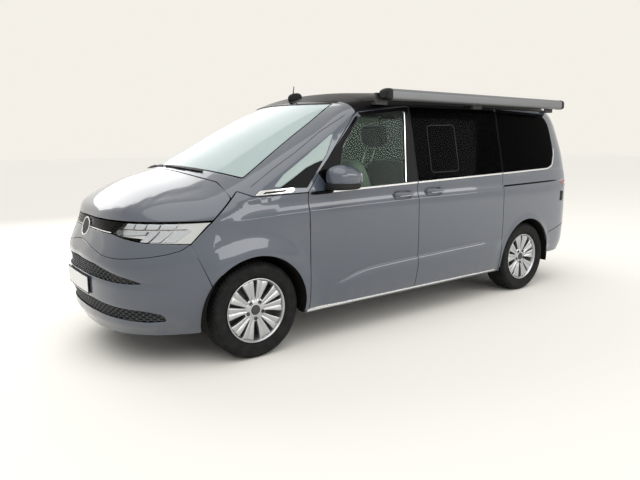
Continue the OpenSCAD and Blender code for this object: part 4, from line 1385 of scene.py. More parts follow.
    def nose(self) -> Array:
        """Painted band below lamps and grille as a loop on the front chart."""
        d = self.draw
        low = d.ends(self.chin())
        corner = self.lamp_corner()
        bridge = d.level(self.front, self.front.flat(np.vstack([low[-1:], corner])).tolist())
        up = self.lamp_low()
        return self.front.flat(both_halves(chain(low, bridge, up,
                                                 d.ends([(446, 915), (250, 922), (0, 926)]))))

    def lamp_low(self) -> Array:
        """Lower edge of the headlamp, from its outer corner inwards."""
        d = self.draw
        inner = d.ends([(770, 868), (690, 872), (452, 915)])
        bridge = d.level(self.front, self.front.flat(np.vstack([self.lamp_corner(), inner[:1]])).tolist())
        return chain(bridge, inner)

    def headlamp(self) -> Array:
        """Left headlamp as a loop on the front chart."""
        d = self.draw
        inner = d.ends([(452, 916), (545, 999)])
        outer = d.side([(1834, 999), (1978, 859)])
        bridge = d.level(self.front, self.front.flat(np.vstack([inner[-1:], outer[:1]])).tolist())
        return self.front.flat(chain(inner, bridge, outer, self.lamp_low()))

    def slot(self) -> Array:
        """Dark slot between the headlamps as a loop on the front chart."""
        half = self.draw.ends([(0, 926), (250, 922), (446, 915), (539, 999), (0, 999)])
        return self.front.flat(both_halves(half))

    def intake(self, low: bool) -> Array:
        """Mesh band of the bumper as a loop on the front chart."""
        if low:
            half = [(0, 366), (300, 364), (550, 350), (690, 338), (772, 344), (764, 388), (700, 414),
                    (550, 434), (300, 466), (0, 470)]
        else:
            half = [(0, 622), (346, 616), (480, 608), (640, 600), (712, 602), (640, 634), (480, 680),
                    (346, 712), (0, 724)]
        return self.front.flat(both_halves(self.draw.ends(half)))

    def bonnet(self) -> Array:
        """Bonnet as a loop on its own dome."""
        d = self.draw
        rear = d.plan([(163 + math.sqrt(1687**2 - y * y), y) for y in np.linspace(0, 690, 30)])
        corner = d.side([(1690, 1140), (1832, self.nose_seam)])
        front = d.level(self.front, [tuple(self.front.flat(corner[-1:])[0]), (0.0, self.nose_seam)])
        return self.lid.flat(both_halves(chain(rear, corner, front)))

    def pillars(self) -> Array:
        """Frame round the windscreen as a loop on the dome."""
        d = self.draw
        cowl = d.plan([(163 + math.sqrt(1687**2 - y * y), y) for y in np.linspace(0, 690, 30)])
        foot = d.side([(1690, 1140), (1642, 1186), (1545, 1147), (1109, 1154)])
        door = d.side([(1105, 1158), (590, 1716), (552, 1742)])
        end = d.side([(552, 1742), (560, 1806)])
        head = d.plan([(-368 + math.sqrt(1112**2 - y * y), y) for y in np.linspace(600, 0, 30)])
        return self.dome.flat(both_halves(chain(cowl, foot, door, end, head)))

    def screen(self) -> Array:
        """Windscreen as a loop on the dome."""
        low = [(163 + math.sqrt(1613**2 - y * y), y) for y in np.linspace(0, 806, 30)]
        high = [(-368 + math.sqrt(1158**2 - y * y), y) for y in np.linspace(612, 0, 20)]
        return self.dome.flat(both_halves(self.draw.plan(low + high)))

    def roof_cap(self) -> Array:
        """Fixed front of the roof as a loop on the barrel."""
        d = self.draw
        head = d.plan([(-368 + math.sqrt(1112**2 - y * y), y) for y in np.linspace(0, 590, 30)])
        edge = d.side([(566, 1814), (self.pop_front, 1829)])
        rear = d.plan([(self.pop_front, 740), (self.pop_front, 0)])
        return self.barrel.flat(both_halves(chain(head, edge, rear)))

    def pop_roof(self) -> Array:
        """Hinged roof as a loop on the barrel."""
        d = self.draw
        front = d.plan([(self.pop_front, 0), (self.pop_front, 740)])
        edge = d.side([(self.pop_front, 1829), (0, 1844), (self.pop_rear, 1848)])
        rear = d.plan([(self.pop_rear, 700), (self.pop_rear, 0)])
        return self.barrel.flat(both_halves(chain(front, edge, rear)))

    def roof_frame(self) -> Array:
        """Roof edges and rear cross piece as a loop on the barrel."""
        d = self.draw
        low = d.side([(556, 1740), (540, 1750), (80, 1802), (-3, 1808), (self.slide_rear, 1812),
                      (self.slide_rear - 6, 1816), (self.tail_top, 1818)])
        tail = d.plan([(self.tail_top, 700), (self.tail_top, 0)])
        outer = both_halves(chain(low, tail))
        inner = both_halves(chain(d.plan([(self.pop_rear, 0), (self.pop_rear, 700)]),
                                  d.side([(self.pop_rear, 1848), (0, 1844), (self.pop_front, 1829),
                                          (562, 1812)])))
        n = len(low) + len(tail)
        left, right = outer[:n], outer[n:]
        m = len(inner) // 2
        return self.barrel.flat(chain(left, right, inner[m:], inner[:m]))


# Simple solids: padded forms, bars and turned parts


Shape = tuple[Array, list[Patch]]


def even_patches(points: Array, faces: Sequence[Array], finish: int = 0) -> list[Patch]:
    """Patches that share averaged normals across all their faces."""
    total = np.zeros_like(points)
    for f in faces:
        p = points[f]
        n = np.cross(p[:, 1] - p[:, 0], p[:, 2] - p[:, 0]) if f.shape[1] == 3 else \
            np.cross(p[:, 2] - p[:, 0], p[:, 3] - p[:, 1])
        for k in range(f.shape[1]):
            np.add.at(total, f[:, k], n)
    n = unit(total)
    return [Patch(f, n[f], finish) for f in faces]


def power(v: Array, e: float) -> Array:
    """Signed power of a value."""
    return np.sign(v) * np.abs(v) ** e


def padded_form(centre: Sequence[float], half: Sequence[float], soft: tuple[float, float] = (0.4, 0.4),
                lean: float = 0.0, rows: int = 20, cols: int = 36, finish: int = 0,
                warp: Optional[Callable[[Array], Array]] = None) -> Shape:
    """Rounded block whose faces are crowned, as a ball with powers of its sines and cosines.

    Args:
        centre: Middle of the block.
        half: Half sizes along, across and up.
        soft: Powers of the upright and the level outlines: 1 is round, near 0 is square.
        lean: Angle in degrees by which it leans back about its middle.
        rows: Rows from pole to pole.
        cols: Points round each row.
        finish: Finish number.
        warp: Change of the points before the lean.

    Returns:
        Points and patches.
    """
    v = np.linspace(-math.pi / 2, math.pi / 2, rows + 2)[1:-1]
    u = np.arange(cols) * 2 * math.pi / cols
    v, u = np.meshgrid(v, u, indexing="ij")
    ring = power(np.cos(v), soft[0])
    p = np.stack([ring * power(np.cos(u), soft[1]), ring * power(np.sin(u), soft[1]),
                  power(np.sin(v), soft[0])], 2)
    p = np.vstack([p.reshape(-1, 3), [[0, 0, -1.0]], [[0, 0, 1.0]]]) * np.array(half)
    if warp is not None:
        p = warp(p)
    c, s = math.cos(math.radians(lean)), math.sin(math.radians(lean))
    p = np.stack([p[:, 0] * c - p[:, 2] * s, p[:, 1], p[:, 0] * s + p[:, 2] * c], 1) + np.array(centre)
    quads = grid_faces(rows, cols, Fit.OPEN, Fit.RING)
    k = np.arange(cols)
    low, high = rows * cols, rows * cols + 1
    foot = np.stack([np.full(cols, low), np.roll(k, -1), k], 1)
    last = (rows - 1) * cols
    head = np.stack([np.full(cols, high), last + k, last + np.roll(k, -1)], 1)
    return p, even_patches(p, [quads, np.vstack([foot, head])], finish)


def swept(path: Array, section: Array, up: Sequence[float] = (0, 0, 1.0), scale: Optional[Array] = None,
          finish: int = 0) -> Shape:
    """Closed section carried along a line, with flat ends.

    Args:
        path: Points of the line.
        section: Points of the section, to the right of the line and up from it, anticlockwise.
        up: Direction that the section's second axis keeps to.
        scale: Size of the section at each point of the line.
        finish: Finish number.

    Returns:
        Points and patches, with the section's corners kept crisp over 40 degrees.
    """
    t = unit(np.gradient(path, axis=0))
    right = unit(np.cross(t, np.array(up, float)))
    top = np.cross(right, t)
    k = np.ones(len(path)) if scale is None else np.array(scale, float)
    spread = section[None, :, :1] * right[:, None] + section[None, :, 1:] * top[:, None]
    grid = path[:, None] + k[:, None, None] * spread
    n, m = len(path), len(section)
    pts = grid.reshape(-1, 3)
    patches = [_creased(pts, grid_faces(n, m, Fit.OPEN, Fit.RING)[:, ::-1], n, m, finish)]
    a = np.vstack([grid[0], path[:1]])
    b = np.vstack([grid[-1], path[-1:]])
    j = np.arange(m)
    fan_a = np.stack([n * m + j, n * m + np.roll(j, -1), np.full(m, n * m + m)], 1)
    fan_b = np.stack([n * m + m + 1 + np.roll(j, -1), n * m + m + 1 + j, np.full(m, n * m + 2 * m + 1)], 1)
    pts = np.vstack([pts, a, b])
    for fan, way in ((fan_a, -t[0]), (fan_b, t[-1])):
        q = pts[fan]
        turn = (np.cross(q[:, 1] - q[:, 0], q[:, 2] - q[:, 0]) @ way).sum() < 0
        fan = fan[:, ::-1] if turn else fan
        patches.append(Patch(fan, np.tile(way, (len(fan), 3, 1)), finish))
    q = pts[patches[0].faces]
    mid = q.mean(1) - np.repeat((path[:-1] + path[1:]) / 2, m, 0)
    face = np.cross(q[:, 2] - q[:, 0], q[:, 3] - q[:, 1])
    if (face * mid).sum() < 0:
        patches[0].faces = patches[0].faces[:, ::-1]
        patches[0].normals = -patches[0].normals[:, ::-1]
    return pts, patches


def _creased(pts: Array, faces: Array, n: int, m: int, finish: int, angle: float = 40.0) -> Patch:
    """Patch whose corner normals average only the faces that meet at less than an angle."""
    p = pts[faces]
    face_n = unit(np.cross(p[:, 2] - p[:, 0], p[:, 3] - p[:, 1]))
    out = np.zeros((len(faces), 4, 3))
    cell = face_n.reshape(n - 1, m, 3)
    limit = math.cos(math.radians(angle))
    for corner in range(4):
        i_off = np.where(faces[:, corner] // m > np.arange(len(faces)) // m, 1, -1)
        own = cell[np.arange(len(faces)) // m, np.arange(len(faces)) % m]
        j_here = faces[:, corner] % m
        j_own = np.arange(len(faces)) % m
        j_off = np.where(j_here == j_own, -1, 1)
        total = np.zeros_like(own)
        for di in (0, 1):
            for dj in (0, 1):
                i = np.clip(np.arange(len(faces)) // m + di * i_off, 0, n - 2)
                j = (j_own + dj * j_off) % m
                near = cell[i, j]
                total += near * ((near * own).sum(1) > limit)[:, None]
        out[:, corner] = unit(total)
    return Patch(faces, out, finish)


def turned(profile: Sequence[Sequence[float]], centre: Sequence[float], n: int = 96, finish: int = 0,
           outward: float = 1.0) -> Shape:
    """Part turned about an axis across the van.

    Args:
        profile: Pairs of radius and place along the axis; a new run starts at each crisp corner.
        centre: Middle of the axis.
        n: Points round the axis.
        finish: Finish number.
        outward: 1 if faces look away from the profile's left, or -1.

    Returns:
        Points and patches.
    """
    q = np.array(profile, float)
    a = np.arange(n) * 2 * math.pi / n
    r, y = q[:, :1], q[:, 1:]
    pts = np.stack([r * np.cos(a) + centre[0], np.broadcast_to(y, (len(q), n)) + centre[1],
                    r * np.sin(a) + centre[2]], 2)
    pts = pts.reshape(-1, 3)
    faces = grid_faces(len(q), n, Fit.OPEN, Fit.RING)
    faces = faces if outward > 0 else faces[:, ::-1]
    patch = _creased(pts, faces, len(q), n, finish, 32.0)
    return pts, [patch]


def circle(r: float, n: int = 12, squash: float = 1.0) -> Array:
    """Points of a circle or an oval, anticlockwise."""
    a = np.arange(n) * 2 * math.pi / n
    return np.stack([r * np.cos(a), squash * r * np.sin(a)], 1)


def bar_section(w: float, h: float, r: float = 2.0) -> Array:
    """Section of a bar with eased corners."""
    x, y = w / 2, h / 2
    return np.array([(x, -y + r), (x, y - r), (x - r, y), (-x + r, y), (-x, y - r), (-x, -y + r),
                     (-x + r, -y), (x - r, -y)])


def band(line: Sequence[Sequence[float]], width: Union[float, Sequence[float]]) -> Array:
    """Closed loop round a flat line, with a width at each of its points."""
    q = np.array(line, float)
    t = unit(np.gradient(q, axis=0))
    n = np.stack([-t[:, 1], t[:, 0]], 1) * (np.array(width, float) * np.ones(len(q)))[:, None] / 2
    return np.vstack([q + n, (q - n)[::-1]])


def pair(shape: Shape) -> Shape:
    """A shape and its twin on the other side."""
    return joined([shape, mirrored(*shape)])


@dataclass
class Studio:
    """Plain pale studio: floor, light and the camera."""

    eye: tuple = (3.4636, 4.3042, 1.5033)
    yaw: float = -126.998
    pitch: float = -9.4156
    roll: float = -0.3027
    focal_px: float = 569.58
    middle: tuple = (327.79, 237.68)
    width_px: float = 640.0
    height_px: float = 480.0
    pale: tuple = (0.905, 0.872, 0.807)
    sky: float = 0.46
    sun: float = 1.72
    sun_spread: float = 75.0
    floor_half: float = 60000.0
    sensor_mm: float = 36.0

    def build(self) -> None:
        """Sets up floor, world, lamps and camera."""
        self._world()
        self._floor()
        self._lamps()
        self._camera()
        bpy.context.scene.view_settings.view_transform = "Standard"

    def _world(self) -> None:
        """Pale surroundings to the camera, in reflections and through glass, and a soft light otherwise."""
        world = bpy.data.worlds.new("surroundings")
        world.use_nodes = True
        tree = world.node_tree
        tree.nodes.clear()
        out = tree.nodes.new("ShaderNodeOutputWorld")
        seen = tree.nodes.new("ShaderNodeBackground")
        soft = tree.nodes.new("ShaderNodeBackground")
        seen.inputs["Color"].default_value = (*self.pale, 1)
        seen.inputs["Strength"].default_value = 1.0
        soft.inputs["Color"].default_value = (0.96, 0.98, 1.0, 1)
        soft.inputs["Strength"].default_value = self.sky
        path = tree.nodes.new("ShaderNodeLightPath")
        total = tree.nodes.new("ShaderNodeMath")
        total.operation = "ADD"
        total.use_clamp = True
        both = tree.nodes.new("ShaderNodeMath")
        both.operation = "ADD"
        tree.links.new(path.outputs["Is Camera Ray"], both.inputs[0])
        tree.links.new(path.outputs["Is Glossy Ray"], both.inputs[1])
        tree.links.new(both.outputs[0], total.inputs[0])
        tree.links.new(path.outputs["Is Transmission Ray"], total.inputs[1])
        mixed = tree.nodes.new("ShaderNodeMixShader")
        tree.links.new(total.outputs[0], mixed.inputs[0])
        tree.links.new(soft.outputs[0], mixed.inputs[1])
        tree.links.new(seen.outputs[0], mixed.inputs[2])
        tree.links.new(mixed.outputs[0], out.inputs["Surface"])
        bpy.context.scene.world = world

    def _floor(self) -> None:
        """Wide pale floor under the tyres."""
        s = Shader("pale_floor")
        s.set(Base_Color=s.mix(s.noise(0.4), self.pale, (0.912, 0.879, 0.814)), Roughness=0.85)
        s.set(Specular_IOR_Level=0.1)
        w = self.floor_half
        pts = np.array([(-w, -w, 0), (w, -w, 0), (w, w, 0), (-w, w, 0)], float)
        floor = put_mesh("floor", pts, [flat_patch(pts, np.array([[0, 1, 2, 3]]))], [s.material])

    def _lamp(self, name: str, at: tuple, aim: tuple, size: tuple, power_w: float) -> None:
        """Adds a soft rectangular lamp that looks at a point."""
        data = bpy.data.lights.new(name, "AREA")
        data.shape = "RECTANGLE"
        data.size, data.size_y = size
        data.energy = power_w
        lamp = bpy.data.objects.new(name, data)
        way = Vector(aim) - Vector(at)
        lamp.matrix_world = Matrix.Translation(at) @ way.to_track_quat("-Z", "Y").to_matrix().to_4x4()
        bpy.context.scene.collection.objects.link(lamp)

    def _lamps(self) -> None:
        """Wide soft sun for an even floor, and a lamp high up on either side that shows in the paint."""
        data = bpy.data.lights.new("lamp_soft", "SUN")
        data.energy = self.sun
        data.angle = math.radians(self.sun_spread)
        lamp = bpy.data.objects.new("lamp_soft", data)
        lamp.matrix_world = Vector((-0.25, -0.35, -1.0)).to_track_quat("-Z", "Y").to_matrix().to_4x4()
        bpy.context.scene.collection.objects.link(lamp)
        self._lamp("lamp_wing", (0.2, 8.4, 2.1), (0.2, 0.95, 0.95), (5.4, 1.1), 78.0)
        self._lamp("lamp_right", (1.5, -5.4, 5.0), (1.8, 0.2, 1.1), (7.0, 5.4), 310.0)
        self._lamp("lamp_left", (-8.6, 10.4, 4.9), (-8.6, 0.9, 1.0), (10.0, 3.4), 400.0)

    def _camera(self) -> None:
        """Camera whose place, turn and lens were fitted to the wanted view."""
        y, p, r = (math.radians(v) for v in (self.yaw, self.pitch, self.roll))
        ahead = Vector((math.cos(p) * math.cos(y), math.cos(p) * math.sin(y), math.sin(p)))
        right = ahead.cross(Vector((0, 0, 1))).normalized()
        up = right.cross(ahead)
        side = right * math.cos(r) + up * math.sin(r)
        top = up * math.cos(r) - right * math.sin(r)
        data = bpy.data.cameras.new("camera")
        data.sensor_width = self.sensor_mm
        data.lens = self.focal_px / self.width_px * self.sensor_mm
        data.shift_x = (self.width_px / 2 - self.middle[0]) / self.width_px
        data.shift_y = (self.middle[1] - self.height_px / 2) / self.width_px
        data.dof.use_dof = False
        cam = bpy.data.objects.new("camera", data)
        m = Matrix((side, top, -ahead)).transposed().to_4x4()
        cam.matrix_world = Matrix.Translation(self.eye) @ m
        bpy.context.scene.collection.objects.link(cam)
        bpy.context.scene.camera = cam


# Sub-assemblies


@dataclass
class Skins:
    """Painted and black outer panels of body, doors and lids."""

    fleet: Fleet
    lines: Outlines
    wall: float = 18.0
    seam: float = 2.6

    def ridges(self, chart: Chart, low: float, high: float) -> Array:
        """Extra points along the shoulder, the fold and the arches between two lengths, on a chart."""
        c = self.lines.crease
        x = np.arange(low, high, 24.0)
        rows = [np.stack([x, c.shoulder(x) + d], 1) for d in (-42, -32, -22, -12, -2, 8, 18, 28, 40, 56)]
        rows += [np.stack([x, c.fold(x) + d], 1)[c.fold(x) > 300] for d in (20, 11, 3, -5, -14, -34, -70)]
        for axle in c.axles:
            for d in (16, 34, 58, 90, 125, 160) if axle > 0 else (16, 34, 58):
                rows.append(np.array(arc(axle, c.hub_z, c.arch_r + d, -10, 190, 60)))
        for hx, hz in c.handles:
            gx, gz = np.meshgrid(np.linspace(-112, 112, 20), np.linspace(-38, 38, 12))
            rows.append(np.stack([gx.ravel() + hx, gz.ravel() + hz], 1))
        q = np.vstack(rows)
        q = q[(q[:, 0] > low) & (q[:, 0] < high)]
        return chart.flat(SideChart(self.lines.shape).bare(q))

    def panel(self, chart: Chart, outline: Array, **sizes: Union[float, list, Array, None]) -> Shape:
        """One panel with the common wall and seam."""
        given = {"gap": self.seam, "depth": self.wall, **sizes}
        return Panel(chart, outline, **given).build()

    def build(self) -> None:
        """Makes all panels."""
        self._sides()
        self._ends()
        self._tops()

    def _sides(self) -> None:
        """Wings, doors, sliding doors and rear side panels."""
        o, f = self.lines, self.fleet
        wing = self.panel(o.side, o.fender(), extra=self.ridges(o.side, 1100, 2000), pitch=30)
        f.add("wings", pair(wing), ("slate_paint", "underside"), "body", "paint", ["fenders"])
        door = self.panel(o.side, o.door(), holes=[o.door_window()],
                          extra=self.ridges(o.side, -20, 1110), pitch=34)
        names = ("slate_paint", "cabin_trim")
        f.add("door_skin_left", door, names, "door_left", "paint", ["front_door_left"])
        f.add("door_skin_right", mirrored(*door), names, "door_right", "paint", ["front_door_right"])
        slide = self.panel(o.side, o.sliding(), holes=[o.sliding_window()], hole_corner=4,
                           extra=self.ridges(o.side, -1180, 0), pitch=34)
        f.add("slide_skins", pair(slide), names, "body", "paint", ["sliding_doors"])
        hole = o.rear.flat(o.side.bare(spaced(o.quarter_window(), 20, Fit.RING)))
        rear = self.panel(o.rear, o.quarter(), holes=[hole],
                          extra=self.ridges(o.rear, -2480, -1176), pitch=34)
        f.add("quarter_skins", pair(rear), names, "body", "paint", ["quarter_panels"])

    def _ends(self) -> None:
        """Bumpers, nose and tailgate."""
        o, f = self.lines, self.fleet
        names = ("slate_paint", "underside")
        bumper = self.panel(o.front, o.bumper(), holes=[o.intake(False), o.intake(True)], pitch=22,
                            hole_corner=18, gap=1.0)
        f.add("front_bumper_skin", bumper, names, "body", "paint", ["front_bumper"])
        f.add("nose_skin", self.panel(o.front, o.nose(), pitch=28), names, "body", "paint", ["nose_panel"])
        f.add("rear_bumper_skin", self.panel(o.rear, o.rear_bumper(), pitch=32), names, "body", "paint",
              ["rear_bumper"])
        gate = self.panel(o.rear, o.tailgate(), holes=[o.tail_window()], corner=18, hole_corner=40)
        f.add("tailgate_skin", gate, ("slate_paint", "cabin_trim"), "tailgate", "paint", ["tailgate"])

    def _tops(self) -> None:
        """Bonnet, windscreen frame and roof."""
        o, f = self.lines, self.fleet
        f.add("bonnet_skin", self.panel(o.lid, o.bonnet(), pitch=30, corner=6),
              ("slate_paint", "underside"), "bonnet", "paint", ["bonnet"])
        quarter = o.dome.flat(o.side.bare(spaced(o.quarter_light(), 14, Fit.RING)))
        holes = [o.screen(), quarter, quarter * np.array([1.0, -1.0])]
        frame = self.panel(o.dome, o.pillars(), holes=holes, corner=5, hole_corner=22, pitch=30)
        f.add("pillar_skin", frame, ("slate_paint", "cabin_trim"), "body", "paint", ["pillar_frame"])
        cap = self.panel(o.barrel, o.roof_cap(), pitch=34)
        f.add("roof_cap_skin", cap, ("roof_black", "cabin_trim"), "body", "black_gloss", ["roof_cap"])
        pop = self.panel(o.barrel, o.pop_roof(), pitch=44)
        f.add("pop_roof_skin", pop, ("roof_black", "cabin_trim"), "pop_roof", "black_gloss", ["pop_roof"])
        # The roof edge takes the darkest gloss black: black trim, and also painted shade for the awning's
        # shadow over it.
        rim = self.panel(o.barrel, o.roof_frame(), pitch=30, corner=4)
        f.add("roof_edge_skin", rim, ("gloss_black", "cabin_trim"), "body", "black_gloss", ["roof_frame"])


@dataclass
class Glazing:
    """Windscreen, side panes and tailgate pane."""

    fleet: Fleet
    lines: Outlines
    thick: float = 4.5

    def pane(self, chart: Chart, outline: Array, sunk: float = 3.0, gap: float = 1.5,
             corner: float = 14.0) -> Shape:
        """One pane a little below the skin."""
        return Panel(chart, outline, gap=gap, roll=1.2, depth=self.thick, sunk=sunk, corner=corner, pitch=48,
                     inner_finish=0).build()

    def build(self) -> None:
        """Makes all panes."""
        o, f = self.lines, self.fleet
        # Windscreen and quarter lights take the glass whose pale colour is a painted reflection of the sky.
        f.add("windscreen_pane", self.pane(o.dome, o.screen(), 4, 1.0, 22), ("screen_glass",), "body",
              "clear_glass", ["windscreen"])
        tri = self.pane(o.side, o.quarter_light(), 4, 1.0, 22)
        f.add("quarter_light_panes", pair(tri), ("screen_glass",), "body", "clear_glass", ["quarter_lights"])
        slide = self.pane(o.side, o.sliding_window(), 1.5, 1.0, 4)
        rear_line = o.rear.flat(o.side.bare(spaced(o.quarter_window(), 20, Fit.RING)))
        rear = self.pane(o.rear, rear_line, 2.0, 1.0, 14)
        f.add("side_panes", joined([pair(slide), pair(rear)]), ("privacy_glass",), "body",
              "privacy_glass", ["side_glass"])
        door = self.pane(o.side, o.door_window(), 6, 1.0, 14)
        f.add("door_pane_left", door, ("clear_glass",), "door_left", "clear_glass", ["door_glass_left"])
        f.add("door_pane_right", mirrored(*door), ("clear_glass",), "door_right", "clear_glass",
              ["door_glass_right"])
        gate = self.pane(o.rear, o.tail_window(), 3, 1.0, 40)
        f.add("tailgate_pane", gate, ("privacy_glass",), "tailgate", "privacy_glass", ["tailgate_glass"])


@dataclass
class Grilles:
    """Mesh bands of the bumper, the dark slot between the lamps and the blank front plate."""

    fleet: Fleet
    lines: Outlines
    cell_w: float = 36.0
    cell_h: float = 19.0
    land: float = 0.80
    sunk: float = 9.0
    deep: float = 12.0

    def mesh(self, chart: Chart, loop: Array, margin: float = 10.0) -> Shape:
        """Sheet of flat six-sided funnels over a loop.

        Odd rows of cells are moved by half a cell. Each cell has a sloped land and walls that narrow
        inwards.

        Args:
            chart: Map of the body.
            loop: Loop to be covered.
            margin: How far the cells reach past the loop.

        Returns:
            Points and patches.
        """
        loop = turned_left(rounded(loop, 10, 14))
        low, high = loop.min(0) - 40, loop.max(0) + 40
        rows = np.arange(low[1], high[1], self.cell_h * 0.75)
        cols = np.arange(low[0], high[0], self.cell_w)
        gx, gy = np.meshgrid(cols, rows)
        gx = gx + (np.arange(len(rows)) % 2)[:, None] * self.cell_w / 2
        mid = np.stack([gx.ravel(), gy.ravel()], 1)
        mid = mid[within(mid, grown(loop, margin))]
        a = np.radians(np.arange(6) * 60 + 90)
        six = np.stack([np.cos(a) * self.cell_w / math.sqrt(3), np.sin(a) * self.cell_h / 2], 1)
        rings = []
        for size, down in ((1.0, 0.0), (self.land, 3.0), (self.land * 0.86, self.deep)):
            uv = (mid[:, None] + six[None] * size).reshape(-1, 2)
            rings.append(chart.point(uv) - chart.normal(uv) * (self.sunk + down))
        pts = np.vstack(rings)
        n = len(mid) * 6
        i = np.arange(n)
        j = i - i % 6 + (i % 6 + 1) % 6
        land = np.stack([i, j, n + j, n + i], 1)
        wall = np.stack([n + i, n + j, 2 * n + j, 2 * n + i], 1)
        return pts, [flat_patch(pts, land), flat_patch(pts, wall)]

    def build(self) -> None:
        """Makes the meshes with dark backs, the slot and the plate."""
        o, f = self.lines, self.fleet
        parts = []
        for low in (False, True):
            loop = o.intake(low)
            parts.append(self.mesh(o.front, loop))
            back = Panel(o.front, grown(turned_left(rounded(loop, 10, 20)), 8), gap=0, sunk=24,
                         depth=4, pitch=60, skin_finish=1, inner_finish=1)
            parts.append(back.build())
        f.add("bumper_meshes", joined(parts), ("mesh_grey", "seal_rubber"), "body", "black_plastic",
              ["bumper_grilles"])
        self._slot()
        self._plate()

    def _slot(self) -> None:
        """Dark slot with bars, a bright lower line and a plain round badge."""
        o, f = self.lines, self.fleet
        parts = [Panel(o.front, o.slot(), gap=2.5, sunk=10, depth=8, pitch=40, inner_finish=0).build()]
        for z in (946, 966, 986):
            half = o.draw.ends([(0, z), (420 + (z - 916) * 0.9, z)])
            line = o.front.flat(np.vstack([half[::-1] * np.array([1, -1, 1.0]), half[1:]]))
            parts.append(Panel(o.front, band(spaced(line, 30, Fit.OPEN), 6), gap=0, roll=1.5, sunk=4,
                               depth=7, corner=2, pitch=40, inner_finish=0).build())
        f.add("nose_slot", joined(parts), ("gloss_black",), "body", "black_gloss", ["nose_grille"])
        half = o.draw.ends([(0, 932), (250, 928), (440, 922)])
        line = o.front.flat(np.vstack([half[::-1] * np.array([1, -1, 1.0]), half[1:]]))
        strip = Panel(o.front, band(spaced(line, 30, Fit.OPEN), 7), gap=0, roll=1.5, sunk=-1, depth=8,
                      corner=2, pitch=40, inner_finish=0)
        f.add("nose_strip", strip.build(), ("bright_trim",), "body", "steel")
        at = o.draw.ends([(0, 925), (0.1, 925)])[:1]
        mid = o.front.flat(at)[0]
        ring = Panel(o.front, mid + circle(66, 48), holes=[mid + circle(57, 48)], gap=0, roll=2, sunk=-6,
                     depth=12, corner=0, hole_corner=0, edge_pitch=9, pitch=20, inner_finish=0)
        disc = Panel(o.front, mid + circle(57, 48), gap=0, roll=2, sunk=-3, depth=9, corner=0,
                     edge_pitch=9, pitch=20, skin_finish=1, inner_finish=1)
        f.add("badge_blank", joined([ring.build(), disc.build()]), ("bright_trim", "gloss_black"),
              "body", "steel")

    def _plate(self) -> None:
        """Blank number plate in a black frame on the bumper between the mesh bands."""
        o, f = self.lines, self.fleet
        frame = ("plate_frame", 268, 62, 548, -10, "grained_plastic", "black_plastic")
        blank = ("plate_blank", 258, 54, 549, -13, "plate_white", "steel")
        for name, w, h, z0, sunk, finish, slot in (frame, blank):
            half = np.array([(0, z0 - h), (w, z0 - h), (w, z0 + h), (0, z0 + h)], float)
            loop = np.vstack([half, half[::-1] * np.array([-1, 1.0])])
            centre = float(o.draw.ends([(0, z0), (0.1, z0)])[0, 0])
            front = FlatChart(o.shape, None, centre - 2.0, 0.10)
            plate = Panel(front, loop, gap=0, roll=1.5, sunk=sunk, depth=6, corner=6, pitch=60,
                          inner_finish=0)
            f.add(name, plate.build(), (finish,), "body", slot)


@dataclass
class FlatChart(Chart):
    """Flat upright sheet across the van, bent back a little with the square of the width."""

    at_x: float = 2480.0
    bend: float = 0.1

    def rays(self, uv: Array) -> tuple[Array, Array]:
        """Level rays forward from the sheet's own place."""
        p = self.bare(uv)
        return p - np.array([50.0, 0, 0]), np.tile([1.0, 0, 0], (len(uv), 1))

    def flat(self, p: Array) -> Array:
        """Width and height."""
        return p[:, 1:]

    def bare(self, uv: Array) -> Array:
        """Points of the sheet."""
        return np.stack([self.at_x - self.bend * uv[:, 0] ** 2 / 1000, uv[:, 0], uv[:, 1]], 1)


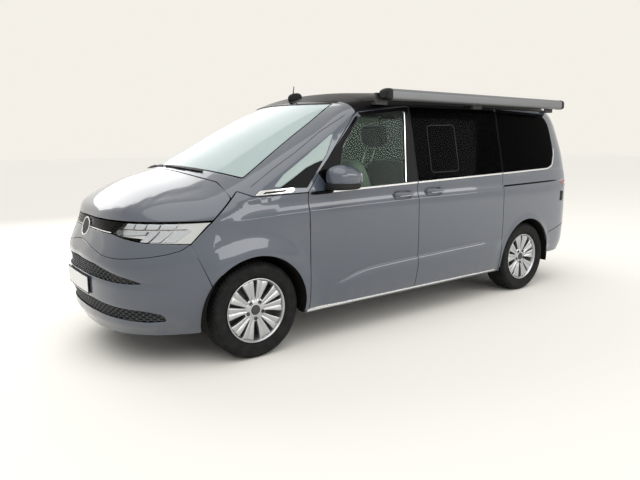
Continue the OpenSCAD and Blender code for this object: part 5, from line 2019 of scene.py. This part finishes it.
@dataclass
class Lamps:
    """Headlamps with light guides behind clear covers, and red tail lamps."""

    fleet: Fleet
    lines: Outlines

    def guide(self, loop: Sequence[Sequence[float]], sunk: float, depth: float, finish: int,
              corner: float = 3.0) -> Shape:
        """Block of a lamp given by its outline as width and height seen from the front."""
        o = self.lines
        flat = o.front.flat(o.draw.ends(list(loop) + [loop[0]]))
        return Panel(o.front, flat, gap=0, roll=1.5, sunk=sunk, depth=depth, corner=corner,
                     edge_pitch=8, pitch=30, skin_finish=finish, inner_finish=finish).build()

    def build(self) -> None:
        """Makes both headlamps and both tail lamps."""
        o, f = self.lines, self.fleet
        loop = o.headlamp()
        cover = Panel(o.front, loop, gap=2.5, roll=1.5, sunk=0.5, depth=3, corner=6, pitch=34,
                      inner_finish=0).build()
        bowl = Panel(o.front, loop, gap=3.5, roll=1, sunk=30, depth=3, corner=6, pitch=34, skin_finish=2,
                     inner_finish=1).build()
        f.add("headlamp_covers", pair(cover), ("lamp_cover",), "body", "lamp", ["headlamps"])
        inside = [bowl] + self._guides()
        f.add("headlamp_insides", pair(joined(inside)), ("lamp_white", "gloss_black", "lamp_chrome"),
              "body", "lamp")
        tail = Panel(o.rear, o.tail_lamp(), gap=2.5, roll=2, sunk=-1, depth=16, corner=6, pitch=30,
                     inner_finish=0).build()
        f.add("tail_lamp_covers", pair(tail), ("lamp_red",), "body", "red_lamp", ["tail_lamps"])

    def _guides(self) -> list[Shape]:
        """Light guides: a row of blocks on top, a long lower stroke and slanting blocks at the outer end."""
        out = []
        for y0 in np.arange(548, 800, 64):
            out.append(self.guide([(y0, 960), (y0 + 57, 958), (y0 + 62, 991), (y0 + 6, 993)], 8, 10, 0))
        out.append(self.guide([(474, 921), (560, 915), (676, 922), (688, 944), (560, 942),
                               (490, 946)], 8, 10, 0))
        for k in range(3):
            y0 = 664 + 52 * k
            out.append(self.guide([(y0, 879), (y0 + 40, 876), (y0 + 78, 946), (y0 + 40, 949)], 10, 12, 0))
        out.append(self.guide([(470, 914), (600, 892), (650, 880), (668, 900), (560, 908)], 16, 8, 1))
        out.append(self.guide([(502, 950), (838, 951), (838, 955), (506, 955)], 14, 8, 1))
        return out


@dataclass
class Wheel:
    """Wheel of the left front, copied to the other places: tyre, rim and bolts."""

    hub: tuple = (1535.5, 814.0, 345.0)
    tyre_r: float = 345.0
    tyre_w: float = 236.0
    rim_r: float = 231.0
    pairs: int = 5

    def tyre(self) -> Shape:
        """Tyre as a turned section, with grooves and cross cuts in its tread.

        The radius of the tread falls in four rings of grooves, and between the rings it falls in slanting
        cuts that repeat round the wheel.
        """
        r, w = self.tyre_r, self.tyre_w / 2
        side = [(self.rim_r - 13, 89), (self.rim_r + 4, 93), (self.rim_r + 12, 101), (self.rim_r + 30, 111),
                (self.rim_r + 33, 112.5), (self.rim_r + 36, 112), (self.rim_r + 50, 116),
                (self.rim_r + 68, w), (r - 34, w - 2), (r - 31, w - 1.2), (r - 24, w - 5),
                (r - 15, w - 12), (r - 8, w - 19), (r - 4, w - 26)]
        tread = [(r - 0.2 * (abs(v) / 60) ** 2, v) for v in np.linspace(88, -88, 71)]
        rows = np.array(side + tread + [(a, -b) for a, b in reversed(side)])
        n = 288
        a = np.arange(n) * 2 * math.pi / n
        q, y = np.repeat(rows[:, :1], n, 1), np.repeat(rows[:, 1:], n, 1)
        groove = np.zeros_like(q)
        for at in (-54, -19, 19, 54):
            groove = np.maximum(groove, 1 - smooth((np.abs(y - at) - 3.0) / 2.2))
        turn = (a[None] * 72 / (2 * math.pi) + 0.014 * np.abs(y)) % 1.0
        cut = (np.abs(turn - 0.5) < 0.13) & (np.abs(y) < 108) & (q > r - 26)
        cut &= ~((np.abs(y) < 17) | ((np.abs(y) > 44) & (np.abs(y) < 52)))
        q = q - np.where(q > r - 26, np.maximum(7.0 * groove, 6.0 * cut), 0)
        pts = np.stack([q * np.cos(a) + self.hub[0], y + self.hub[1], q * np.sin(a) + self.hub[2]],
                       2).reshape(-1, 3)
        faces = grid_faces(len(rows), n, Fit.OPEN, Fit.RING)
        patch = _creased(pts, faces, len(rows), n, 0, 50.0)
        return pts, [self._outward(pts, patch)]

    def _outward(self, pts: Array, patch: Patch) -> Patch:
        """Turns a ring of faces so that they look away from the tyre's own core circle."""
        p = pts[patch.faces]
        n = np.cross(p[:, 2] - p[:, 0], p[:, 3] - p[:, 1])
        mid = p.mean(1) - np.array(self.hub)
        d = np.hypot(mid[:, 0], mid[:, 2])
        core = np.stack([mid[:, 0] / d * (self.rim_r + 60), np.zeros(len(d)),
                         mid[:, 2] / d * (self.rim_r + 60)], 1)
        if (n * (mid - core)).sum() < 0:
            return Patch(patch.faces[:, ::-1], -patch.normals[:, ::-1], patch.finish)
        return patch

    def barrel(self) -> list[Shape]:
        """Rim bed with flanges, seen from outside and inside, and the hub."""
        R, c = self.rim_r, self.hub
        outer = [(R - 15, 86), (R - 13, 91), (R - 1, 93), (R + 1, 97), (R, 101), (R - 5, 102),
                 (R - 9, 99), (R - 12, 92), (R - 16, 84), (R - 21, 66), (R - 26, 30), (R - 30, -20),
                 (R - 28, -70), (R - 18, -86), (R - 10, -96), (R - 4, -102), (R, -101), (R + 1, -97),
                 (R - 1, -93), (R - 13, -91), (R - 15, -86)]
        bed = turned(outer, c, 144)
        back = turned([(R - 15, -86), (R - 22, -70), (R - 24, -20), (R - 22, 30), (R - 15, 86)], c, 96, 1)
        hub = turned([(88, 24), (88, 62), (86, 72), (78, 78), (44, 81), (36, 81.5)], c, 72)
        shadow = turned([(0.5, 30), (120, 30), (150, 22), (R - 26, 14)], c, 72, 1)
        parts = [bed, back, hub, shadow]
        return [self._facing(p) for p in parts]

    def _facing(self, shape: Shape, toward: Sequence[float] = (0.0, 1.0, 0.0)) -> Shape:
        """Turns faces so that on the whole they look outwards from the wheel or towards its axis."""
        pts, patches = shape
        fixed = []
        for patch in patches:
            p = pts[patch.faces]
            n = np.cross(p[:, 2] - p[:, 0], p[:, 3] - p[:, 1])
            axis = (np.array(self.hub) - p.mean(1)) * np.array([1.0, 0, 1.0])
            if (n @ np.array(toward)).sum() + (unit(axis) * n).sum() * 0.2 < 0:
                patch = Patch(patch.faces[:, ::-1], -patch.normals[:, ::-1], patch.finish)
            fixed.append(patch)
        return pts, fixed

    def spoke(self, angle: float, lean: float) -> Shape:
        """Broad spoke from hub to rim as a strip of sections: flat in front, with eased edges.

        Args:
            angle: Place round the wheel in degrees.
            lean: How far the outer end leans aside, in degrees.

        Returns:
            Points and patches.
        """
        r = np.array([44, 70, 100, 135, 170, 200, 212])
        half = np.array([16, 19, 24, 31, 39, 46, 48.0])
        face = np.array([78, 80, 83, 87, 90, 91, 88.0])
        back = np.array([40, 44, 52, 58, 60, 58, 56.0])
        shift = np.radians(angle + lean * (r - 44) / 168)
        prof = np.array([(-1, 0.0), (-1, 0.82), (-0.9, 0.96), (-0.74, 1.0), (-0.24, 0.96), (-0.1, 0.80),
                         (0.1, 0.80), (0.24, 0.96), (0.74, 1.0), (0.9, 0.96), (1, 0.82), (1, 0.0)])
        s = prof[None, :, 0] * half[:, None]
        y = back[:, None] + (face - back)[:, None] * prof[None, :, 1]
        ca, sa = np.cos(shift)[:, None], np.sin(shift)[:, None]
        x, z = r[:, None] * ca - s * sa, r[:, None] * sa + s * ca
        pts = np.stack([x + self.hub[0], y + self.hub[1], z + self.hub[2]], 2)
        n, m = pts.shape[:2]
        pts = pts.reshape(-1, 3)
        faces = grid_faces(n, m)
        patch = smooth_patch(pts, faces)
        p = pts[faces]
        nn = np.cross(p[:, 2] - p[:, 0], p[:, 3] - p[:, 1])
        if nn[:, 1].sum() < 0:
            patch = Patch(faces[:, ::-1], -patch.normals[:, ::-1])
        return pts, [patch]

    def rim(self) -> Shape:
        """Whole rim: bed, ten spokes in five pairs, bolts and a plain cap."""
        parts = self.barrel()
        step = 360 // self.pairs
        for at in range(90, 90 + 360, step):
            for half, lean in ((-15.0, -1.5), (15.0, 1.5)):
                parts.append(self.spoke(at + half, lean))
        for k in range(self.pairs):
            a = math.radians(90 + step // 2 + step * k)
            at = (self.hub[0] + 62 * math.cos(a), self.hub[1], self.hub[2] + 62 * math.sin(a))
            bolt = turned([(13.5, 60), (13.5, 83), (11.5, 85), (10.5, 85), (10, 80), (0.3, 80)], at, 20, 1)
            parts.append(self._facing(bolt))
        parts.append(self._facing(turned([(33, 70), (33, 84), (31, 87), (20, 88), (0.3, 88.5)],
                                         self.hub, 48, 1)))
        return joined(parts)

    def build(self, fleet: Fleet, rear_x: float = -1588.5) -> None:
        """Adds tyre and rim at all four places."""
        tyre, rim = self.tyre(), self.rim()
        for end, x in (("front", 0.0), ("rear", rear_x - self.hub[0])):
            for side in Side:
                tag = f"{end}_{side.name.lower()}"
                for name, shape, finishes, slot in (("tyre", tyre, ("tyre_rubber",), "tyre"),
                                                    ("rim", rim, ("alloy", "dark_metal"), "alloy")):
                    pts = shape[0] + np.array([x, 0, 0])
                    own = (pts, shape[1]) if side is Side.LEFT else mirrored(pts, shape[1])
                    fleet.add(f"{name}_look_{tag}", own, finishes, f"wheel_{tag}", slot, [f"{name}_{tag}"])


@dataclass
class Mirror:
    """Outside mirror: painted cap over a black foot, with the glass facing back."""

    fleet: Fleet

    def build(self) -> None:
        """Makes the left mirror and its twin."""
        def hood(p: Array) -> Array:
            """Flattens the rear of the housing and tapers it outwards."""
            x = np.where(p[:, 0] < -112, -112 + (p[:, 0] + 112) * 0.12, p[:, 0])
            out = smooth(p[:, 1] / 90)
            back = smooth((40 - p[:, 0]) / 180)
            high = np.where(p[:, 2] > 0, 1 - 0.22 * out - 0.34 * back * (0.4 + 0.6 * out), 1)
            return np.stack([np.where(x > 0, x * (1 - 0.2 * out), x), p[:, 1], p[:, 2] * high], 1)

        cap = padded_form((848, 1032, 1262), (138, 92, 88), (0.8, 0.75), 0, 28, 48, 0, hood)
        low = padded_form((850, 1028, 1196), (132, 92, 32), (0.5, 0.6), 0, 14, 40, 1, hood)
        foot = padded_form((880, 958, 1186), (78, 26, 24), (0.5, 0.5), 0, 12, 28, 1)
        arm = swept(np.array([(884, 945, 1180), (878, 980, 1190), (866, 1010, 1204)], float),
                    bar_section(90, 34, 10), finish=1)
        glass = padded_form((731, 1032, 1250), (5, 70, 38), (0.35, 0.55), 0, 12, 36, 2)
        lamp = padded_form((884, 1084, 1222), (40, 30, 5), (0.8, 0.8), 0, 8, 24, 2)
        whole = joined([cap, low, foot, arm, glass, lamp])
        names = ("slate_paint", "grained_plastic", "lamp_chrome")
        self.fleet.add("mirror_look_left", whole, names, "door_left", "paint", ["mirror_left"])
        self.fleet.add("mirror_look_right", mirrored(*whole), names, "door_right", "paint", ["mirror_right"])


@dataclass
class RoofGear:
    """Awning case with end caps, and the antenna."""

    fleet: Fleet
    front: float = 356.0
    rear: float = -2160.0

    def build(self) -> None:
        """Makes case and antenna."""
        line = np.array([(846, 1846), (868, 1836), (912, 1836), (942, 1844), (959, 1862), (964, 1884),
                         (958, 1906), (940, 1921), (912, 1928), (876, 1928), (854, 1920),
                         (846, 1904)], float)
        line = rounded(line, 12, 7)
        mid = line.mean(0)
        section = turned_left((line - mid) * np.array([-1.0, 1.0]))

        def run(a: float, b: float, scale: Sequence[float], finish: int) -> Shape:
            """Length of the case between two places."""
            x = np.linspace(a, b, len(scale))
            path = np.stack([x, np.full(len(x), mid[0]), np.full(len(x), mid[1])], 1)
            return swept(path, section, scale=np.array(scale), finish=finish)

        parts = [run(self.front - 45, self.rear + 45, [0.985] * 24, 0),
                 run(self.front, self.front - 64, [0.62, 0.82, 0.92, 0.98, 1.01, 1.02, 1.02, 1.02], 1),
                 run(self.rear + 64, self.rear, [1.02, 1.02, 1.02, 1.01, 0.98, 0.92, 0.82, 0.62], 1)]
        groove = np.array([(self.front - 60, 950, 1849), (self.rear + 60, 950, 1849)], float)
        parts.append(swept(groove, bar_section(2.4, 7, 0.8), finish=1))
        self.fleet.add("awning_look", joined(parts), ("awning_case", "grained_plastic"), "body",
                       "awning", ["awning"])
        fin = padded_form((642, 100, 1886), (72, 20, 44), (0.8, 0.8), -10, 16, 32)
        rod = swept(np.array([(664, 100, 1906), (658, 100, 1946), (652, 100, 1987)], float),
                    circle(4.2, 10), up=(1, 0, 0), scale=np.array([1.4, 1.0, 0.8]))
        self.fleet.add("antenna_look", joined([fin, rod]), ("grained_plastic",), "body", "black_plastic",
                       ["antenna"])


@dataclass
class Trim:
    """Strips, handles, rails, wipers and small covers on the outer skin."""

    fleet: Fleet
    lines: Outlines

    def strip(self, line: Sequence[Sequence[float]], width: Union[float, Sequence[float]],
              proud: float = 2.0, finish: int = 0, chart: Optional[Chart] = None) -> Shape:
        """Flat strip along a line of the side view, standing a little proud of the skin."""
        c = chart or self.lines.side
        q = np.array(line, float)
        w = np.array(width, float) * np.ones(len(q))
        s = np.concatenate([[0], np.cumsum(np.linalg.norm(np.diff(q, axis=0), axis=1))])
        at = np.linspace(0, s[-1], max(int(s[-1] / 40), 2) + 1)
        dense = np.stack([np.interp(at, s, q[:, k]) for k in range(2)], 1)
        loop = band(dense, np.interp(at, s, w))
        return Panel(c, loop, gap=0, roll=min(1.4, w.min() / 4), sunk=-proud, depth=proud + 2.5, corner=0,
                     edge_pitch=16, pitch=60, skin_finish=finish, inner_finish=finish).build()

    def cover(self, loop: Sequence[Sequence[float]], proud: float = 1.5, corner: float = 6.0,
              finish: int = 0, chart: Optional[Chart] = None, holes: Sequence[Array] = ()) -> Shape:
        """Flat cover over an area of the side view."""
        return Panel(chart or self.lines.side, np.array(loop, float), holes=list(holes), gap=0, roll=1.2,
                     sunk=-proud, depth=proud + 3, corner=corner, pitch=40, skin_finish=finish,
                     inner_finish=finish).build()

    def build(self) -> None:
        """Makes all trim."""
        self._belts()
        self._handles()
        self._pillars()
        self._lines()
        self._wipers()
        self._sills()

    def belt_line(self, a: float, b: float, lift: float = -7.0) -> list[tuple[float, float]]:
        """Belt line between two lengths."""
        return [(x, self.lines.belt(x) + lift) for x in np.linspace(a, b, 12)]

    def _belts(self) -> None:
        """Bright belt strips on doors and body; at the rear corner the strip climbs round the window."""
        f, o = self.fleet, self.lines
        door = self.strip(self.belt_line(884, o.door_rear + 5), 13, 3)
        foot = self.strip(self.belt_line(1090, 890), [10] + [24] * 10 + [20], 3, 1)
        both = joined([door, foot])
        names = ("bright_trim", "gloss_black")
        f.add("belt_strip_left", both, names, "door_left", "steel")
        f.add("belt_strip_right", mirrored(*both), names, "door_right", "steel")
        slide = self.strip(self.belt_line(o.door_rear - 5, o.slide_rear + 5), 13, 3)
        tail = self.belt_line(o.slide_rear - 5, -1950) + [(-2046, 1263), (-2106, 1376), (-2116, 1440)]
        rear = self.strip(tail, [13] * 12 + [12, 9, 5], 3)
        f.add("belt_strips_rear", pair(joined([slide, rear])), ("bright_trim",), "body", "steel")

    def handle(self, x: float, z: float) -> Shape:
        """Pull handle over a hollow in the skin: a bowed bar with a bright inlay."""
        o = self.lines
        u = np.linspace(-1, 1, 17)
        xs = x + 104 * u
        base = o.side.point(np.stack([xs, np.full(17, z)], 1))
        bow = np.stack([np.zeros(17), 4 + 26 * (1 - np.abs(u) ** 3.2), np.zeros(17)], 1)
        flat = o.side.bare(np.stack([xs, np.full(17, z)], 1))
        path = flat + bow - np.array([0, 8.0, 0])
        path[:, 1] = np.maximum(path[:, 1], base[:, 1] - 4)
        bar = swept(path, rounded(bar_section(14, 34, 5), 4, 3), scale=1 - 0.25 * np.abs(u) ** 4)
        inlay = swept(path[3:-3] + np.array([0, 7.0, -12]), bar_section(1.6, 3, 0.6), finish=1)
        return joined([bar, inlay])

    def _handles(self) -> None:
        """Handles on front and sliding doors."""
        f = self.fleet
        names = ("slate_paint", "bright_trim")
        front = self.handle(160, 1089)
        f.add("handle_left", front, names, "door_left", "paint")
        f.add("handle_right", mirrored(*front), names, "door_right", "paint")
        f.add("handles_slide", pair(self.handle(-212, 1099)), names, "body", "paint")

    def _pillars(self) -> None:
        """Black covers on the door's rear pillar and round the quarter light, and the bright window edge."""
        f, o = self.fleet, self.lines
        b = o.belt
        post = self.cover([(128, b(128) + 2), (44, 1760), (100, 1764), (520, 1712), (540, 1740),
                           (82, 1794), (-4, 1800), (-8, 1198), (-8, b(-8) + 2)], 1.2, 4)
        edge = self.strip([(130, b(130) + 4), (46, 1756)], 9, 2.5, 1)
        frame = self.cover([(1000, 1290), (839, 1444), (695, 1588), (574, 1708), (540, 1712), (640, 1596),
                            (736, 1480), (772, 1390), (812, 1290), (866, b(866) + 3),
                            (908, b(908) + 3)], 1.2, 5)
        whole = joined([post, edge, frame])
        names = ("gloss_black", "bright_trim")
        f.add("door_post_left", whole, names, "door_left", "black_gloss")
        f.add("door_post_right", mirrored(*whole), names, "door_right", "black_gloss")
        wedge = self.cover([(1340, 1196), (1215, 1262), (1094, 1331), (1010, 1362), (939, 1382),
                            (1000, 1310), (1112, 1188)], 1.5, 10)
        plate = self.cover([(1534, 1152), (1490, 1184), (1232, 1196), (1214, 1186), (1240, 1163)], 2.5, 6, 1)
        inset = self.cover([(1480, 1160), (1456, 1174), (1290, 1183), (1286, 1170)], 4.0, 4, 2)
        f.add("quarter_covers", pair(joined([wedge, plate, inset])),
              ("gloss_black", "bright_trim", "grained_plastic"), "body", "black_gloss")

    def _lines(self) -> None:
        """Sliding-door rail, sliding-window frame, pane joint and the small hatch."""
        f = self.fleet
        rail = self.strip([(-1183, 1090), (-1600, 1097), (-2000, 1104), (-2136, 1107)], [17, 17, 16, 9], 0.8)
        hatch = self.cover([(-2190, 884), (-2270, 884), (-2280, 986), (-2196, 990)], 0.8, 8, 0,
                           self.lines.side)
        f.add("slide_rails", pair(joined([rail, hatch])), ("gloss_black",), "body", "black_plastic")
        b = self.lines.belt
        rows = [[(-19, b(-19) + 2), (-19, 1798)], [(-1167, b(-1167) + 2), (-1167, 1802)],
                [(-1177, b(-1177) + 2), (-1177, 1800)]]
        fills = [self.strip(row, 7.5, 0.6) for row in rows]
        # Black covers over the painted band above the panes: black trim, and also painted shade for the
        # awning's shadow down to the window tops.
        fills.append(self.cover([(-14, 1796), (-1162, 1800), (-1162, 1810), (-14, 1806)], 0.6, 1))
        fills.append(self.cover([(-1182, 1794), (-1996, 1764), (-2034, 1786), (-1182, 1817)], 0.6, 2))
        f.add("pane_joints", pair(joined(fills)), ("gloss_black",), "body", "black_gloss")
        tip = self.cover([(-2182, 1092), (-2296, 1103), (-2306, 1014), (-2246, 1050)], 2.0, 5)
        line = self.strip([(-2184, 1096), (-2296, 1107)], 4, 2.2, 1)
        f.add("tail_lamp_tips", pair(joined([tip, line])), ("lamp_red", "bright_trim"), "body", "red_lamp")
        outer = np.array([(-200, 1648), (-548, 1658), (-544, 1256), (-190, 1252)], float)
        outer = rounded(outer, 34, 14)
        ring = spaced(outer, 25, Fit.RING)
        frame = swept(self.lines.side.point(np.vstack([ring, ring[:1]])), circle(2.4, 8), up=(0, 1, 0))
        f.add("slide_window_frames", pair(frame), ("seal_rubber",), "body", "black_plastic")

    def _wipers(self) -> None:
        """Two wipers on the foot of the windscreen, and the black cowl below it."""
        f, o = self.fleet, self.lines
        low = [(163 + math.sqrt(1652**2 - y * y), y) for y in np.linspace(-480, 480, 60)]
        high = [(163 + math.sqrt(1612**2 - y * y), y) for y in np.linspace(500, -500, 60)]
        loop = o.dome.flat(o.draw.plan(low + high))
        cowl = Panel(o.dome, loop, gap=2, roll=1.5, sunk=-1.5, depth=5, corner=6, pitch=34,
                     inner_finish=0).build()
        arc_in = [(-368 + math.sqrt(1114**2 - y * y), y) for y in np.linspace(-620, 620, 40)]
        arc_out = [(-368 + math.sqrt(1160**2 - y * y), y) for y in np.linspace(640, -640, 40)]
        head = Panel(o.dome, o.dome.flat(o.draw.plan(arc_in + arc_out)), gap=1, roll=1.2, sunk=-1.2,
                     depth=4, corner=4, pitch=34, inner_finish=0).build()
        ring = turned_left(rounded(o.screen(), 22, 14))
        seal = Panel(o.dome, ring, holes=[grown(ring, -11)], gap=0, roll=1, sunk=1.0, depth=3, corner=0,
                     hole_corner=0, pitch=40, inner_finish=0).build()
        f.add("screen_surround", joined([head, seal]), ("gloss_black",), "body", "black_gloss")
        split = [(1548, 1209), (1350, 1329), (1152, 1439), (900, 1590), (650, 1722)]
        seam = self.strip(split, 3.4, 0.4)
        f.add("pillar_seams", pair(seam), ("seal_rubber",), "body", "black_plastic")
        parts = [cowl]
        for rows in (((1800, 40), (1786, 230), (1758, 370), (1716, 500)),
                     ((1762, -440), (1786, -300), (1800, -150), (1804, -20))):
            line = o.draw.plan(rows)
            n = o.dome.normal(o.dome.flat(line))
            arm = line + n * 12
            blade = line + n * 7
            k = len(line)
            parts.append(swept(arm[: int(k * 0.62)], bar_section(18, 7, 2), up=n[0]))
            parts.append(swept(blade[int(k * 0.18):], bar_section(11, 11, 2), up=n[k // 2]))
        f.add("cowl_and_wipers", joined(parts), ("grained_plastic",), "body", "black_plastic")

    def _sills(self) -> None:
        """Bright strip along the lower edge between the wheels, and the flanges inside the arches."""
        o = self.lines
        x = np.linspace(1118, -1130, 24)
        strip = self.strip(np.stack([x, np.full(24, 274.0)], 1),
                           np.interp(x, [-1130, 700, 1118], [11, 15, 26]), 4)
        self.fleet.add("sill_strips", pair(strip), ("bright_trim",), "body", "steel")
        rings = []
        for axle in (o.axle_f, o.axle_r):
            line = np.array([(x, 898.0, z) for x, z in arc(axle, o.hub_z, o.arch_r + 7, -12, 192, 48)])
            rings.append(swept(line, bar_section(4, 84, 1), up=(0, 1, 0)))
        self.fleet.add("arch_liners", pair(joined(rings)), ("underside",), "body", "underbody")


@dataclass
class Seats:
    """Padded front seats and rear bench in woven cloth."""

    fleet: Fleet
    front_y: tuple = (410, -410)
    bench_y: tuple = (70, -510)
    bolster_y: float = 190.0

    def _pressed(self, axis: int, deep: float) -> Shift:
        """Change of form that presses the middle of a pad in along an axis, between its bolsters."""
        def press(p: Array) -> Array:
            """Moves the points of the seen face."""
            k = 1 - smooth(np.abs(p[:, 1]) / self.bolster_y)
            out = p.copy()
            out[:, axis] -= deep * k * smooth(p[:, axis] / 30)
            return out

        return press

    def _seat(self, y: float) -> list[Shape]:
        """One front seat: cushion and back with side bolsters."""
        seat = padded_form((610, y, 566), (285, 255, 62), (0.42, 0.36), 3, 22, 44, 0, self._pressed(2, 18))
        back = padded_form((224, y, 955), (64, 250, 420), (0.36, 0.42), -20, 28, 44, 0, self._pressed(0, 22))
        return [seat, back]

    def _headrest(self, y: float) -> list[Shape]:
        """Headrest on two posts above a front seat."""
        head = padded_form((2, y, 1564), (54, 138, 96), (0.5, 0.5), -14, 18, 36)
        posts = [swept(np.array([(86, y + d, 1330), (26, y + d, 1500)], float), circle(7, 10),
                       up=(1, 0, 0), finish=1)
                 for d in (-60, 60)]
        return [head] + posts

    def build(self) -> None:
        """Makes seats, bench and their bases."""
        f = self.fleet
        one, two = self.front_y
        pads = f.add("front_seat_pads", joined(self._seat(one) + self._seat(two)),
                     ("seat_cloth", "dark_cloth"), "body", "seat_cloth", ["front_seats"])
        heads = f.add("front_headrests", joined(self._headrest(one) + self._headrest(two)),
                      ("dark_cloth", "lamp_chrome"), "body", "seat_cloth")
        base = [padded_form((590, y, 410), (200, 195, 108), (0.12, 0.12), 0, 14, 36) for y in self.front_y]
        f.add("front_seat_bases", joined(base), ("cabin_trim",), "body", "black_plastic")
        places = self.bench_y
        seat = [padded_form((-775, y, 660), (255, 285, 76), (0.4, 0.34), 2, 22, 44) for y in places]
        back = [padded_form((-1040, y, 1020), (58, 285, 300), (0.34, 0.4), -12, 24, 44) for y in places]
        head = [padded_form((-1112, y, 1268), (36, 120, 58), (0.5, 0.5), -8, 16, 36, 1) for y in places]
        bench = f.add("bench_pads", joined(seat + back + head), ("seat_cloth", "dark_cloth"), "body",
                      "seat_cloth", ["rear_bench"])
        board = padded_form((-1180, 806, 1190), (170, 9, 100), (0.1, 0.1), 0, 10, 32)
        f.add("side_board", board, ("tan_board",), "body", "board")
        box = padded_form((-800, -220, 444), (262, 575, 142), (0.1, 0.1), 0, 14, 40)
        f.add("bench_base", box, ("cabin_trim",), "body", "board")


@dataclass
class Cabin:
    """Finishes of the solids that stay as they are."""

    fleet: Fleet

    def dress(self) -> None:
        """Gives each carried-over solid its finish."""
        f = self.fleet
        f.dress("underside", "floor_pan", "wheel_housings", "front_beam", "engine", "fuel_tank")
        f.dress("cabin_trim", "dashboard", "steering_wheel")
        f.dress("board", "kitchen_unit")
        f.dress("dark_metal", "front_axle", "rear_axle", "exhaust", "knuckle_left",
                "knuckle_right", "tow_eye", "panel_hinges", "awning_brackets")


def main() -> None:
    """Builds the van's looks in order."""
    logging.basicConfig(level=logging.INFO, format="%(name)s: %(message)s")
    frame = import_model()
    Studio().build()
    fleet = Fleet(frame, Palette())
    lines = Outlines(BodyShape())
    Skins(fleet, lines).build()
    Glazing(fleet, lines).build()
    Grilles(fleet, lines).build()
    Lamps(fleet, lines).build()
    Wheel().build(fleet)
    Mirror(fleet).build()
    RoofGear(fleet).build()
    Trim(fleet, lines).build()
    Seats(fleet).build()
    Cabin(fleet).dress()


if __name__ == "__main__":
    main()
